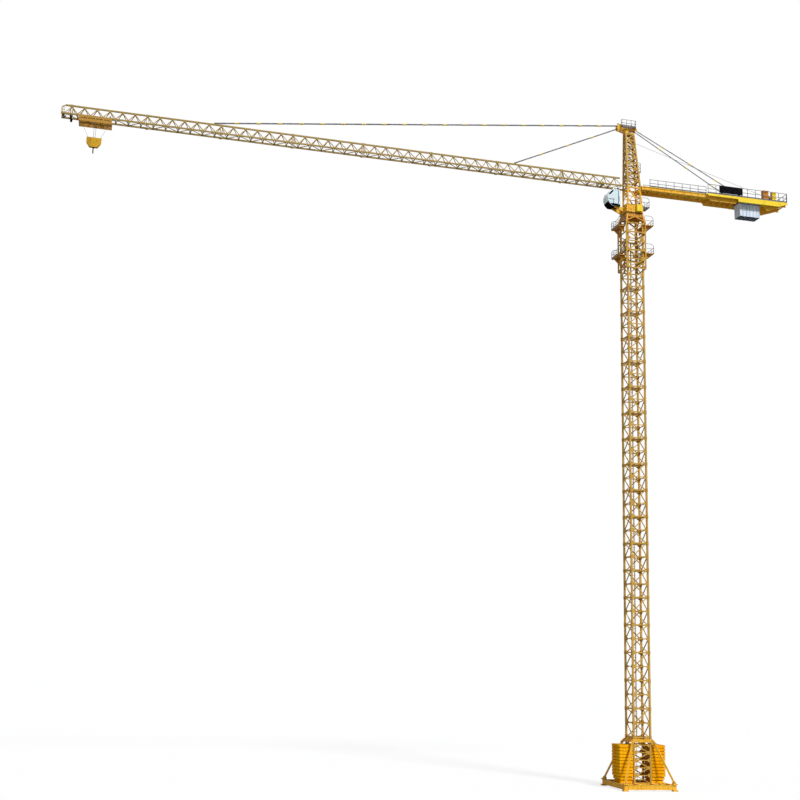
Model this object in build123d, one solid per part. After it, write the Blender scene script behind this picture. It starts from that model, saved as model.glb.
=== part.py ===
from build123d import *
import os
from math import hypot

# Tower crane at one tenth of its real size, in millimetres
# Z is up, the ground is at Z = 0 under the mast's axis, and the jib points along -X

# Named clearances and the sides of small round pieces
seat_gap = 0.3
bearing_gap = 0.5
guide_gap = 0.5
running_gap = 5.0
wheel_sides = 24
pin_sides = 12

# Base frame and feet
foot_reach = 290
foot_side = 50
foot_height = 14
anchor_bore = 4.5
anchor_inset = 8
base_beam_width = 24
base_beam_depth = 46
strut_side = 16
strut_plate_side = 44
strut_plate_height = 10
collar_depth = 30
collar_wall = 12

# Ballast stacks
stack_inner = 104
stack_length = 144
stack_half_width = 96
stack_height = 373
stack_layers = 12
layer_groove = 5
groove_depth = 6
taper_layers = 2
taper_step = 8

# Mast
leg_spacing = 180
leg_side = 18
leg_wall = 1.2
base_section_height = 440
section_height = 280
section_count = 19
splice_half_height = 16
splice_swell = 3
joint_rung = 12
middle_rung = 9
mast_brace = 10
mast_brace_depth = 7
base_bays = 3
ladder_width = 40
ladder_rail = 4
ladder_tie = 140
ladder_stop = 20

# Climbing cage
cage_spacing = 224
cage_post = 13
cage_height = 530
cage_overlap = 355
cage_rung = 12
cage_brace = 10
cage_brace_depth = 7
cage_bays = 5
guide_height = 18
upper_guide_level = 225
lower_guide_level = 20
slot_half_width = 30
deck_half_width = 95
left_deck_reach = 88
right_deck_reach = 105
deck_thickness = 6
left_upper_drop = 42
left_lower_drop = 380
right_upper_drop = 6
right_lower_drop = 332
rake_height = 72
rake_inset = 14
rake_spread = 66
rail_height = 110
rail_round = 42
rail_bar = 4
rail_posts = 4
climb_stroke = 100
barrel_radius = 9
rod_radius = 4.5
barrel_length = 150
barrel_drop = 150
barrel_standoff = 14
crosshead_level = 145
crosshead_depth = 18

# Slewing unit
support_half_width = 98
support_depth = 110
support_box_depth = 40
support_leg = 18
support_strut = 12
support_wall = 6
ring_outer = 88
ring_inner = 72
ring_height = 16
turntable_half_width = 98
turntable_depth = 93
turntable_bore = 60
spigot_wall = 16
drive_start = 12
drive_lift = 8
drive_width = 64
drive_depth = 30
drive_height = 78
drive_round = 6
tower_height = 220
tower_front = -68
tower_rear = 84
tower_half_width = 60
tower_leg = 16
tower_brace = 10
tower_rung = 14
gusset_half_width = 34
gusset_drop = 78
gusset_plate = 10
rest_deck_length = 95

# Cab
cab_front = -311
cab_rear = -158
cab_half_width = 65
cab_set = 29.1
cab_height = 194
brow_run = 64
brow_drop = 50
brow_set = 14
nose_set = 2
nose_height = 78
chin_run = 56
cab_wall = 7
pane_low = 64
pane_frame = 8
side_pane_front = 66
side_pane_rear = 34
screen_low = 36
cab_arm = 14
cab_arm_tip = 7
cab_arm_spread = 39
cab_arm_reach = 90

# Tower head
head_height = 649.6
head_half_width = 30
head_rear = 27
head_leg = 16
head_brace = 10
head_bays = 9
head_end_share = 0.15
head_plate = 6
column_width = 36
column_height = 60
head_box_height = 40
head_nose = 91
nose_drop = 44
nose_lip = 18
nose_bevel = 10
nose_frame = 8
head_box_rear = 66
rear_bevel = 22
rear_lip = 18
pin_inset = 11
pin_radius = 5
head_pulley_radius = 17
head_pulley_width = 10
box_pulley_pitch = 54
hoist_pulley_x = 5
hoist_pulley_drop = 100
strap_width = 16
strap_plate = 3
head_deck_front = -130
head_deck_rear = 42
head_deck_width = 26
head_rail_height = 84
head_rest_height = 204.6
head_rest_depth = 36
head_rest_half_width = 30

# Jib
jib_first_bay = 137
jib_bay = 125.2
jib_bays = 48
jib_set = 2.4
jib_rise = 0.0048
jib_depth = 112
jib_half_width = 58
jib_side_foot = 54
lower_chord = 14
upper_chord = 15
chord_wall = 1
jib_brace = 8
jib_brace_depth = 5
jib_rung = 8
first_joint_bay = 5.5
section_bays = 6
jib_joints = 8
joint_half_length = 14
joint_swell = 2
joint_plate = 8
joint_strut = 5
joint_strut_set = 9
jib_tip_length = 36
tip_beam = 10
tip_post = 7
tip_post_height = 98
tip_rail_height = 60
tip_rail_posts = 2
anchor_lug = 26
buffer_width = 20
buffer_set = 26
buffer_gap = 20

# Ties
long_tie_reach = 4650
short_tie_reach = 1375
tie_spread = 12
tie_width = 5
tie_depth = 9
tie_lug = 16
tie_lug_crown = 6
link_half_length = 14
link_swell = 1.5
long_tie_links = 9
short_tie_links = 3
rear_tie_links = 3
rear_tie_from_end = 546
rear_foot_lift = 13

# Counter-jib
counter_root = 92
counter_length = 1790
counter_half_width = 80
counter_beam_width = 14
counter_beam_depth = 38
counter_flange = 3
counter_plank = 3
counter_set = 27.4
counter_bays = 14
counter_end_share = 0.1
counter_brace = 8
counter_rung = 10
platform_length = 997
platform_half_width = 118
platform_depth = 24
hand_bar = 5
counter_rail_height = 92
walk_rail_start = 190
walk_posts = 8
platform_posts = 11
end_posts = 4
platform_rail_height = 112
board_inset = 141
board_length = 288
board_height = 82
board_thickness = 5
board_lift = 20
weight_from_end = 574
weight_slab = 38
weight_count = 6
weight_pitch = 42
weight_half_width = 62
weight_height = 160
weight_ear = 14
winch_from_end = 272
winch_bed = 150
winch_axle = 60
winch_stand = 60
winch_flange = 9
winch_plate = 6
winch_foot = 10
winch_motor = 46
winch_drum_radius = 28
winch_drum_length = 90
winch_height = 62
bracket_from_end = 285
bracket_length = 236
bracket_plate = 10
bracket_drop = 64

# Trolley and hook
trolley_place = 5843
trolley_length = 325
trolley_drop = 64
trolley_plate = 5
trolley_beam = 12
trolley_windows = 4
window_margin = 14
window_height = 20
wheel_radius = 9
wheel_width = 7
wheel_from_end = 20
wheel_arm_rise = 6
axle_radius = 3
sheave_radius = 17
sheave_width = 8
sheave_from_end = 42
sheave_from_middle = 29
cheek_plate = 3
cheek_rise = 10
rope_side = 2.4
fall_inset = 14
hook_top_drop = 204
hook_block_width = 146
hook_block_height = 102
hook_block_depth = 34
block_shoulder = 52
block_taper = 0.33
block_round = 12
hook_height = 66
hook_bar = 12
hook_bowl_share = 0.31
hook_sides = 8
hook_turn = 180
hook_back = 90

node_shapes = {}


def slab(x0, x1, y0, y1, z0, z1):
    """A box between two corners."""
    centre = Pos((x0 + x1) / 2, (y0 + y1) / 2, (z0 + z1) / 2)
    return centre * Box(abs(x1 - x0), abs(y1 - y0), abs(z1 - z0))


def beam(start, end, width, depth=None):
    """A rectangular bar from one point to another, its width level and its depth upright."""
    start = Vector(*start)
    axis = Vector(*end) - start
    upright = hypot(axis.X, axis.Y) < abs(axis.Z) / 100
    level = Vector(1, 0, 0) if upright else Vector(0, 0, 1).cross(axis)
    plane = Plane(origin=start, x_dir=level, z_dir=axis)
    return extrude(plane * Rectangle(width, depth or width), amount=axis.length)


def leaning(start, end, side):
    """A square bar that leans from one point to another, with level ends."""
    run = Vector(*end) - Vector(*start)
    return extrude(Plane(origin=start) * Rectangle(side, side), amount=run.length, dir=run)


def tube(start, end, side, wall):
    """A square tube from one point to another, open at its ends."""
    return beam(start, end, side) - beam(start, end, side - 2 * wall)


def upright_plate(points, y0, y1):
    """A plate with an outline in X and Z, between two values of Y."""
    edge = Polyline(*[(x, 0, z) for x, z in points], close=True)
    return Pos(0, y0, 0) * extrude(make_face(edge), amount=y1 - y0, dir=(0, 1, 0))


def wheel(x, y, z, radius, width, sides=wheel_sides):
    """A many-sided wheel with its axis along Y, centred on a point."""
    plane = Plane(origin=(x, y - width / 2, z), z_dir=(0, 1, 0))
    return extrude(plane * RegularPolygon(radius, sides), amount=width)


def pin(x, y, z, radius, width):
    """A pin or axle with its axis along Y, centred on a point."""
    return wheel(x, y, z, radius, width, pin_sides)


def corners(half_x, half_y=None):
    """The four corners round the axis, in turn from the near left."""
    half_y = half_x if half_y is None else half_y
    return [(-half_x, -half_y), (half_x, -half_y), (half_x, half_y), (-half_x, half_y)]


def lattice(left, right, inset, zigzag, rungs, brace, depth, left_first=True):
    """A flat lattice between two straight members, as one plate cut to its bars.

    left and right give the ends of the members' centre lines, inset the distance from
    a centre line to the bars, zigzag the shares of the height where the braces turn,
    and rungs the level bars as (share, width).
    """
    base = Vector(*left[0])
    across = Vector(*right[0]) - base
    rise = Vector(*left[1]) - base
    plane = Plane(origin=base, x_dir=across, z_dir=across.cross(rise))
    ends = [plane.to_local_coords(Vector(*point)) for point in (*left, *right)]
    height = ends[1].Y

    def on_edge(is_left, share):
        low, high = ends[:2] if is_left else ends[2:]
        place = low + (high - low) * min(max(share, 0), 1)
        return (place.X + (inset if is_left else -inset), place.Y)

    def bar(left_share, right_share, width):
        start = on_edge(True, left_share)
        end = on_edge(False, right_share)
        run = end[0] - start[0]
        spread = width / 2 * hypot(run, end[1] - start[1]) / run / height
        return Polygon(
            on_edge(True, left_share - spread),
            on_edge(False, right_share - spread),
            on_edge(False, right_share + spread),
            on_edge(True, left_share + spread),
            align=None,
        )

    bars = [bar(share, share, width) for share, width in rungs]
    at_left = left_first
    for low, high in zip(zigzag, zigzag[1:]):
        bars.append(bar(low, high, brace) if at_left else bar(high, low, brace))
        at_left = not at_left
    return extrude(plane * (Sketch() + bars), amount=depth / 2, both=True)


def rail_comb(start, end, height, posts, bar):
    """A handrail on a straight edge: posts between a foot bar, a middle bar and a top bar."""
    base = Vector(*start)
    run = Vector(*end) - base
    plane = Plane(origin=base, x_dir=run, z_dir=run.cross(Vector(0, 0, 1)))
    length = run.length
    pitch = (length - bar) / (posts - 1)
    levels = (bar / 2, height / 2, height - bar / 2)
    bars = [Pos(length / 2, level) * Rectangle(length, bar) for level in levels]
    bars += [Pos(bar / 2 + pitch * k, height / 2) * Rectangle(bar, height) for k in range(posts)]
    return extrude(plane * (Sketch() + bars), amount=bar / 2, both=True)


def rail_loop(start, end, height, bend, bar):
    """An end rail: a bar bent over a rounded outer corner, with a middle bar inside it."""
    base = Vector(*start)
    run = Vector(*end) - base
    plane = Plane(origin=base, x_dir=run, z_dir=run.cross(Vector(0, 0, 1)))
    length = run.length
    outline = Pos(length / 2, height / 2) * Rectangle(length, height)
    inside = Pos(length / 2, height / 2) * Rectangle(length - 2 * bar, height - 2 * bar)
    outline = fillet(outline.vertices().sort_by(Axis.X)[-2:].sort_by(Axis.Y)[-1], bend)
    inside = fillet(inside.vertices().sort_by(Axis.X)[-2:].sort_by(Axis.Y)[-1], bend - bar)
    loop = outline - inside + Pos(length / 2, height / 2) * Rectangle(length - bar, bar)
    return extrude(plane * loop, amount=bar / 2, both=True)


def railed_deck(face, outer, half_width, level, height, bend, posts):
    """A plank deck that stands out along X, with a rounded rail fused round its three free edges."""
    side = 1 if outer > face else -1
    deck = slab(face, outer, -half_width, half_width, level - deck_thickness, level)
    edge = outer - side * rail_bar / 2
    deck += rail_comb((edge, -half_width, level), (edge, half_width, level), height - bend, posts, rail_bar)
    for y in (-half_width + rail_bar / 2, half_width - rail_bar / 2):
        deck += rail_loop((face, y, level), (outer, y, level), height, bend, rail_bar)
    return deck


def keep(name, *solids):
    """Store a node: one solid or a few like ones that don't touch."""
    node_shapes[name] = list(solids)


# Levels and places that follow from the sizes
base_deck = foot_height + base_beam_depth
half_legs = leg_spacing / 2
collar_top = base_deck + base_section_height
mast_top = collar_top + section_count * section_height
foot_centre = foot_reach - foot_side / 2
leg_face = half_legs + leg_side / 2
cage_half = cage_spacing / 2
cage_face = cage_half + cage_brace_depth / 2
cage_bottom = mast_top - cage_overlap
cage_top = cage_bottom + cage_height
cylinder_head = cage_top - barrel_drop
cylinder_y = cage_face + barrel_standoff
support_low = cage_top + seat_gap
support_top = support_low + support_depth
ring_top = support_top + seat_gap + ring_height
turntable_bottom = ring_top + bearing_gap
turntable_top = turntable_bottom + turntable_depth
tower_bottom = turntable_top + seat_gap
tower_top = tower_bottom + tower_height
cab_bottom = turntable_top - cab_set
jib_level = tower_top - jib_set
counter_level = tower_top - counter_set
head_level = tower_top + head_height
head_rest_level = tower_top + head_rest_height
head_front = tower_front - head_leg / 2
head_floor = head_level + seat_gap + column_height
head_top = head_floor + head_box_height
nose_tip = head_front - head_nose
counter_end = counter_root + counter_length
counter_top = counter_level + counter_beam_depth
counter_deck = counter_top + seat_gap + counter_plank
platform_start = counter_end - platform_length
winch_x = counter_end - winch_from_end + winch_axle
winch_z = counter_deck + seat_gap + winch_height
jib_end = jib_first_bay + jib_bay * jib_bays
chord_face = jib_half_width + lower_chord / 2
chord_inner = jib_half_width - lower_chord / 2 - seat_gap
trolley_face = chord_face + running_gap
trolley_y = trolley_face + trolley_plate / 2
trolley_ends = (trolley_place - trolley_length / 2, trolley_place + trolley_length / 2)
wheel_level = lower_chord / 2 + seat_gap + wheel_radius
wheel_reaches = (trolley_ends[0] + wheel_from_end, trolley_ends[1] - wheel_from_end)
sheave_level = -trolley_drop + trolley_beam + seat_gap + sheave_radius
sheave_offsets = (sheave_from_end - trolley_length / 2, -sheave_from_middle,
                  sheave_from_middle, trolley_length / 2 - sheave_from_end)
fall_offset = sheave_radius + rope_side / 2 + seat_gap
rope_level = sheave_level + fall_offset
half_block = hook_block_width / 2
fall_feet = (fall_inset - half_block, -sheave_width, sheave_width, half_block - fall_inset)
fall_run = abs(sheave_offsets[0] - fall_offset - fall_feet[0])
fall_drop = hook_top_drop + sheave_level
outer_offset = fall_offset * hypot(fall_run, fall_drop) / fall_drop + seat_gap
fall_tops = (sheave_offsets[0] - outer_offset, sheave_offsets[1] + fall_offset,
             sheave_offsets[2] - fall_offset, sheave_offsets[3] + outer_offset)
hook_block_top = jib_level + jib_rise * trolley_place - hook_top_drop


def jib_point(reach, y=0, height=0):
    """A point at a reach along the rising jib, and at a height over its lower chords."""
    return (-reach, y, jib_level + jib_rise * reach + height)


# Base frame: two pairs of cross beams inside a square of beams, on four feet with anchor holes
def base_frame():
    """The welded cross frame, with bearers under both ballast stacks."""
    half = base_beam_width / 2
    reach = foot_centre + half
    beams = []
    for offset in (-foot_centre, -half_legs, half_legs, foot_centre):
        beams.append(slab(-reach, reach, offset - half, offset + half, foot_height, base_deck))
        beams.append(slab(offset - half, offset + half, -reach, reach, foot_height, base_deck))
    for side in (-1, 1):
        middle = side * (stack_inner + stack_length / 2)
        beams.append(slab(middle - half, middle + half, -half_legs, half_legs, foot_height, base_deck))
    frame = beams[0].fuse(*beams[1:])
    for x, y in corners(foot_centre):
        frame += Pos(x, y, foot_height / 2) * Box(foot_side, foot_side, foot_height)
    for x, y in corners(foot_reach - anchor_inset):
        frame -= Pos(x, y, foot_height / 2) * Cylinder(anchor_bore / 2, foot_height)
    return frame


def base_collar():
    """The square ring round the mast that the four raking struts push against."""
    inner = 2 * (leg_face + seat_gap)
    outer = inner + 2 * collar_wall
    ring = Box(outer, outer, collar_depth) - Box(inner, inner, collar_depth)
    return Pos(0, 0, collar_top - splice_half_height - collar_depth / 2) * ring


def base_struts():
    """Four raking struts on foot plates, cut off at the collar."""
    edge = leg_face + seat_gap + collar_wall
    half = strut_plate_side / 2
    keep_out = edge + seat_gap
    struts = []
    for x, y in corners(1):
        foot = (x * foot_centre, y * foot_centre, base_deck + strut_plate_height)
        head = (x * edge, y * edge, collar_top - splice_half_height - collar_depth / 2)
        plate = Pos(foot[0], foot[1], base_deck + seat_gap + strut_plate_height / 2)
        strut = beam(foot, head, strut_side)
        strut -= slab(-keep_out, keep_out, -keep_out, keep_out, base_deck, collar_top)
        strut -= slab(-foot_reach, foot_reach, -foot_reach, foot_reach, 0, base_deck + seat_gap)
        struts.append(strut + plate * Box(2 * half, 2 * half, strut_plate_height))
    return struts


def ballast_stack(side):
    """One stack of cast slabs with grooves between them; the lowest slabs taper in."""
    pitch = stack_height / stack_layers
    middle = side * (stack_inner + stack_length / 2)
    layers = []
    for k in range(stack_layers):
        taper = taper_step * max(taper_layers - k, 0)
        low = base_deck + seat_gap + k * pitch
        size_x = stack_length - taper
        size_y = 2 * (stack_half_width - taper)
        slab_height = pitch - layer_groove
        x = middle - side * taper / 2
        layers.append(Pos(x, 0, low + slab_height / 2) * Box(size_x, size_y, slab_height))
        if k < stack_layers - 1:
            neck = Box(size_x - 2 * groove_depth, size_y - 2 * groove_depth, layer_groove)
            layers.append(Pos(x, 0, low + pitch - layer_groove / 2) * neck)
    return layers[0].fuse(*layers[1:])


# Mast: four hollow legs with swollen splices, four flat lattice sides and a ladder inside
def mast_leg(x, y):
    """A leg from the base frame to the top, with a swollen splice at each section joint."""
    inner, outer = x - leg_side / 2, x + leg_side / 2
    bottom = base_deck + seat_gap
    rising = [(outer, bottom)]
    falling = [(inner, bottom)]
    for k in range(section_count):
        middle = collar_top + k * section_height
        low, high = middle - splice_half_height, middle + splice_half_height
        rising += [(outer, low), (outer + splice_swell, low)]
        rising += [(outer + splice_swell, high), (outer, high)]
        falling += [(inner, low), (inner - splice_swell, low)]
        falling += [(inner - splice_swell, high), (inner, high)]
    rising.append((outer, mast_top))
    falling.append((inner, mast_top))
    leg = upright_plate(rising + falling[::-1], y - leg_side / 2, y + leg_side / 2)
    bore = leg_side / 2 - leg_wall
    return leg - slab(x - bore, x + bore, y - bore, y + bore, bottom, mast_top)


def mast_side(turn):
    """The flat bracing of one mast face, made for the near face and turned to its place."""
    bottom = base_deck + seat_gap
    height = mast_top - bottom
    base_turns = [base_section_height * k / base_bays / 2 for k in range(2 * base_bays)]
    turns = [base_section_height + section_height * k / 2 for k in range(2 * section_count + 1)]
    joints = turns[::2]
    levels = base_turns + turns
    rungs = [(level / height, joint_rung if level in joints else middle_rung) for level in levels]
    left = ((-half_legs, -half_legs, bottom), (-half_legs, -half_legs, mast_top))
    right = ((half_legs, -half_legs, bottom), (half_legs, -half_legs, mast_top))
    inset = leg_side / 2 + splice_swell + seat_gap
    zigzag = [level / height for level in levels]
    panel = lattice(left, right, inset, zigzag, rungs, mast_brace, mast_brace_depth, left_first=False)
    return Rot(0, 0, turn) * panel


def ladder(x0, y0, x1, y1, bottom, top):
    """An upright ladder: two rails and the rungs that tie them."""
    count = round((top - bottom) / ladder_tie)
    rungs = [((k + 0.5) / count, ladder_rail / 2) for k in range(count)]
    left = ((x0, y0, bottom), (x0, y0, top))
    right = ((x1, y1, bottom), (x1, y1, top))
    whole = lattice(left, right, 0, [], rungs, 0, ladder_rail / 2)
    return whole + beam(*left, ladder_rail) + beam(*right, ladder_rail)


def mast_ladder():
    """The ladder inside the mast's back face."""
    y = half_legs - mast_brace_depth / 2 - seat_gap - ladder_rail / 2
    half = ladder_width / 2
    return ladder(-half, y, half, y, base_deck + seat_gap, mast_top - ladder_stop)


# Climbing cage: four posts with flat lattice sides round the mast's top, guides and side decks
def cage_posts():
    """The four corner posts of the cage."""
    middle = (cage_bottom + cage_top) / 2
    return [Pos(x, y, middle) * Box(cage_post, cage_post, cage_height) for x, y in corners(cage_half)]


def cage_side(turn):
    """The lattice of one closed side of the cage."""
    left = ((-cage_half, -cage_half, cage_bottom), (-cage_half, -cage_half, cage_top))
    right = ((cage_half, -cage_half, cage_bottom), (cage_half, -cage_half, cage_top))
    end_share = cage_rung / 2 / cage_height
    span = 1 - 2 * end_share
    zigzag = [end_share + span * k / cage_bays for k in range(cage_bays + 1)]
    rungs = [(share, cage_rung) for share in zigzag]
    inset = cage_post / 2 + seat_gap
    return Rot(0, 0, turn) * lattice(left, right, inset, zigzag, rungs, cage_brace, cage_brace_depth)


def cage_back_frame():
    """The back side: open above for a new section, slotted below for the crosshead."""
    near, far = cage_half - cage_brace_depth / 2, cage_face
    reach = cage_half - cage_post / 2 - seat_gap
    frame = slab(-reach, reach, near, far, cage_bottom, cage_bottom + cage_rung)
    frame += slab(-reach, reach, near, far, cylinder_head - cage_rung, cylinder_head)
    for side in (-1, 1):
        inner = side * slot_half_width
        frame += slab(inner, inner + side * cage_rung, near, far, cage_bottom, cylinder_head)
    return frame


def cage_guides():
    """Sliding shoes on the posts that bear on the mast's near and back leg faces."""
    near = leg_face + guide_gap
    far = cage_half - cage_post / 2 - seat_gap
    inner = half_legs - leg_side / 2
    outer = cage_half + cage_post / 2
    guides = []
    for x, y in corners(1):
        for level in (cage_bottom + lower_guide_level, cage_bottom + upper_guide_level):
            guides.append(slab(x * inner, x * outer, y * near, y * far, level, level + guide_height))
    return guides


def side_decks():
    """Each side deck's direction, reach and level, from the top."""
    places = [(-1, left_deck_reach, drop) for drop in (left_upper_drop, left_lower_drop)]
    places += [(1, right_deck_reach, drop) for drop in (right_upper_drop, right_lower_drop)]
    return [(side, reach, cage_top - drop) for side, reach, drop in places]


def side_deck(side, reach, level):
    """A plank deck on two raking brackets, standing out from one side of the cage."""
    face = cage_face + seat_gap
    outer = face + reach
    low = level - deck_thickness
    deck = slab(side * face, side * outer, -deck_half_width, deck_half_width, low, level)
    rake = [(side * face, low), (side * (outer - rake_inset), low), (side * face, low - rake_height)]
    for y in (-rake_spread, rake_spread):
        deck += upright_plate(rake, y - rail_bar / 2, y + rail_bar / 2)
    return deck


def side_rail(side, reach, level):
    """The handrail round a side deck: rounded end loops joined by a long outer rail."""
    face = cage_face + seat_gap
    base = level + seat_gap
    edge = side * (face + reach - rail_bar / 2)
    ends = ((edge, -deck_half_width, base), (edge, deck_half_width, base))
    rail = rail_comb(*ends, rail_height - rail_round, rail_posts, rail_bar)
    for y in (-deck_half_width + rail_bar / 2, deck_half_width - rail_bar / 2):
        ends = ((side * face, y, base), (side * (face + reach), y, base))
        rail += rail_loop(*ends, rail_height, rail_round, rail_bar)
    return rail


def climb_barrel():
    """The climbing cylinder's barrel with its head lug on the cage's back rung."""
    barrel = Pos(0, cylinder_y, cylinder_head - barrel_length / 2) * Cylinder(barrel_radius, barrel_length)
    near = cage_face + seat_gap
    lug = slab(-barrel_radius, barrel_radius, near, cylinder_y, cylinder_head - cage_rung, cylinder_head)
    bore = Cylinder(rod_radius + bearing_gap, barrel_length)
    return barrel + lug - Pos(0, cylinder_y, cylinder_head - barrel_length / 2 - cage_rung) * bore


def climb_rod():
    """The rod and the crosshead that stands on the back legs' climbing lugs."""
    low = cage_bottom + crosshead_level
    high = low + crosshead_depth
    near = leg_face + seat_gap
    head = slab(-leg_face, leg_face, near, near + running_gap, low, high)
    head += slab(-barrel_radius, barrel_radius, near, cylinder_y + rod_radius, low, high)
    rod_length = cylinder_head - cage_rung - running_gap - low
    return head + Pos(0, cylinder_y, low + rod_length / 2) * Cylinder(rod_radius, rod_length)


# Slewing support: a ring box on raking legs over the cage, with short legs down to the mast
def slewing_support():
    """The box under the slewing ring, open below, with raking legs and struts on all sides."""
    half = support_half_width
    wall = support_wall
    under_plate = support_top - wall
    box_low = support_top - support_box_depth
    middle = Pos(0, 0, support_top - support_box_depth / 2)
    support = middle * Box(2 * half, 2 * half, support_box_depth)
    cavity = slab(wall - half, half - wall, wall - half, half - wall, box_low, under_plate)
    support -= cavity - middle * Cylinder(ring_inner + wall, support_box_depth)
    support -= middle * Cylinder(ring_inner, support_box_depth)
    inset = half - support_leg / 2
    for x, y in corners(1):
        foot = (x * cage_half, y * cage_half, support_low)
        support += leaning(foot, (x * inset, y * inset, under_plate), support_leg)
        start = (x * cage_half, y * cage_half, support_low + support_leg)
        mid_wall = half - wall / 2
        support += beam(start, (0, y * mid_wall, box_low + wall), support_strut)
        support += beam(start, (x * mid_wall, 0, box_low + wall), support_strut)
    for x, y in corners(half_legs):
        middle = (mast_top + seat_gap + under_plate) / 2
        support += Pos(x, y, middle) * Box(leg_side, leg_side, under_plate - mast_top - seat_gap)
    return support


def slewing_ring():
    """The outer ring of the slewing bearing."""
    ring = Cylinder(ring_outer, ring_height) - Cylinder(ring_inner, ring_height)
    return Pos(0, 0, ring_top - ring_height / 2) * ring


def turntable():
    """The turning box, open below, with the ring's inner spigot and two arms for the cab."""
    half = turntable_half_width
    inner = half - support_wall
    box = slab(-half, half, -half, half, turntable_bottom, turntable_top)
    middle = Pos(0, 0, (turntable_bottom + turntable_top) / 2)
    cavity = slab(-inner, inner, -inner, inner, turntable_bottom, turntable_top - support_wall)
    box -= cavity - middle * Cylinder(ring_inner, turntable_depth)
    box -= middle * Cylinder(turntable_bore, turntable_depth)
    spigot_outer = ring_inner - running_gap
    spigot = Cylinder(spigot_outer, ring_height) - Cylinder(spigot_outer - spigot_wall, ring_height)
    box += Pos(0, 0, turntable_bottom - ring_height / 2) * spigot
    rest = cab_bottom - seat_gap
    tip = cab_front + cab_arm_reach
    arm = [(-half, turntable_bottom), (-half, rest), (tip, rest), (tip, rest - cab_arm_tip)]
    for y in (-cab_arm_spread, cab_arm_spread):
        box += upright_plate(arm, y - cab_arm / 2, y + cab_arm / 2)
    return box


def slew_drives():
    """The two slewing gear housings, with rounded corners, on the turntable's sides."""
    housing = Box(drive_width, drive_depth, drive_height)
    housing = fillet(housing.edges().filter_by(Axis.Z), drive_round)
    x = drive_start + drive_width / 2
    y = turntable_half_width + seat_gap + drive_depth / 2
    z = turntable_bottom + drive_lift + drive_height / 2
    return [Pos(x, side * y, z) * housing for side in (-1, 1)]


def slewing_tower():
    """The turning tower under the jib: four legs, side diagonals, a top frame and pin gussets."""
    half = tower_leg / 2
    legs = [slab(x - half, x + half, y - half, y + half, tower_bottom, tower_top)
            for x in (tower_front, tower_rear) for y in (-tower_half_width, tower_half_width)]
    tower = legs[0].fuse(*legs[1:])
    low, high = tower_bottom + tower_rung / 2, tower_top - tower_rung / 2
    for y in (-tower_half_width, tower_half_width):
        tower += beam((tower_front, y, high), (tower_rear, y, low), tower_brace)
        tower += beam((tower_front, y, high), (tower_rear, y, high), tower_rung)
        for x in (tower_front, tower_rear):
            gusset = [(x - gusset_half_width, tower_top), (x + gusset_half_width, tower_top),
                      (x + half, tower_top - gusset_drop), (x - half, tower_top - gusset_drop)]
            if x == tower_front:
                gusset[0] = (x - half, tower_top)
            else:
                gusset[1] = (x + half, tower_top)
            tower += upright_plate(gusset, y - gusset_plate / 2, y + gusset_plate / 2)
    for x in (tower_front, tower_rear):
        tower += beam((x, -tower_half_width, high), (x, tower_half_width, high), tower_rung)
    return tower


def rest_deck():
    """The small railed deck behind the turntable."""
    face = turntable_half_width + seat_gap
    outer = face + rest_deck_length
    return railed_deck(face, outer, tower_half_width, turntable_top, rail_height, rail_round, rail_posts - 1)


# Cab: a shell with a slanted brow and a round nose, open where the panes sit
def cab_form(shrink, half_width):
    """The cab's solid form, drawn in by a distance all round its side view."""
    low, high = cab_bottom + shrink, cab_bottom + cab_height - shrink
    front, rear = cab_front + shrink, cab_rear - shrink
    roof_end = (front + brow_run, 0, high)
    brow_foot = (front + brow_set, 0, high - brow_drop)
    nose = (front + nose_set, 0, low + nose_height)
    chin = (front + chin_run, 0, low)
    edge = Line((rear, 0, low), (rear, 0, high)) + Line((rear, 0, high), roof_end)
    edge += Line(roof_end, brow_foot)
    edge += ThreePointArc(brow_foot, nose, chin)
    edge += Line(chin, (rear, 0, low))
    return Pos(0, -half_width, 0) * extrude(make_face(edge), amount=2 * half_width, dir=(0, 1, 0))


def cab_openings(shrink):
    """The space of the side windows and of the front window, drawn in by a distance."""
    high = cab_bottom + cab_height - cab_wall - pane_frame - shrink
    x0 = cab_front + side_pane_front + shrink
    x1 = cab_rear - side_pane_rear - shrink
    sides = slab(x0, x1, -cab_half_width, cab_half_width, cab_bottom + pane_low + shrink, high)
    inner = cab_half_width - cab_wall - shrink
    low = cab_bottom + screen_low + shrink
    screen_top = cab_bottom + cab_height - brow_drop - shrink
    front = slab(cab_front, cab_front + side_pane_front - pane_frame, -inner, inner, low, screen_top)
    return sides, front


def cab_body():
    """The cab's shell with its window openings."""
    shell = cab_form(0, cab_half_width) - cab_form(cab_wall, cab_half_width - cab_wall)
    sides, front = cab_openings(0)
    return shell - sides - front


def cab_panes():
    """Two side panes and the curved front pane, each half a wall thick in its opening."""
    sides, front = cab_openings(seat_gap)
    shell = cab_form(cab_wall / 2, cab_half_width - cab_wall / 2)
    shell -= cab_form(cab_wall, cab_half_width - cab_wall)
    return [*(shell & sides).solids(), *(shell & front).solids()]


# Tower head: upright front legs, raking rear legs, dense flat lattices, a box head on a column
def head_corner(rear, side, top):
    """The centre of one head leg's foot or top."""
    x = (head_rear if top else tower_rear) if rear else tower_front
    half = head_half_width if top else tower_half_width
    return (x, side * half, head_level if top else tower_top + seat_gap)


def head_leg_line(rear, side):
    """The foot and the top of one head leg."""
    return (head_corner(rear, side, False), head_corner(rear, side, True))


def head_legs():
    """The four legs, which lean in to the head."""
    return [leaning(*head_leg_line(rear, side), head_leg) for rear in (False, True) for side in (-1, 1)]


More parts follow.
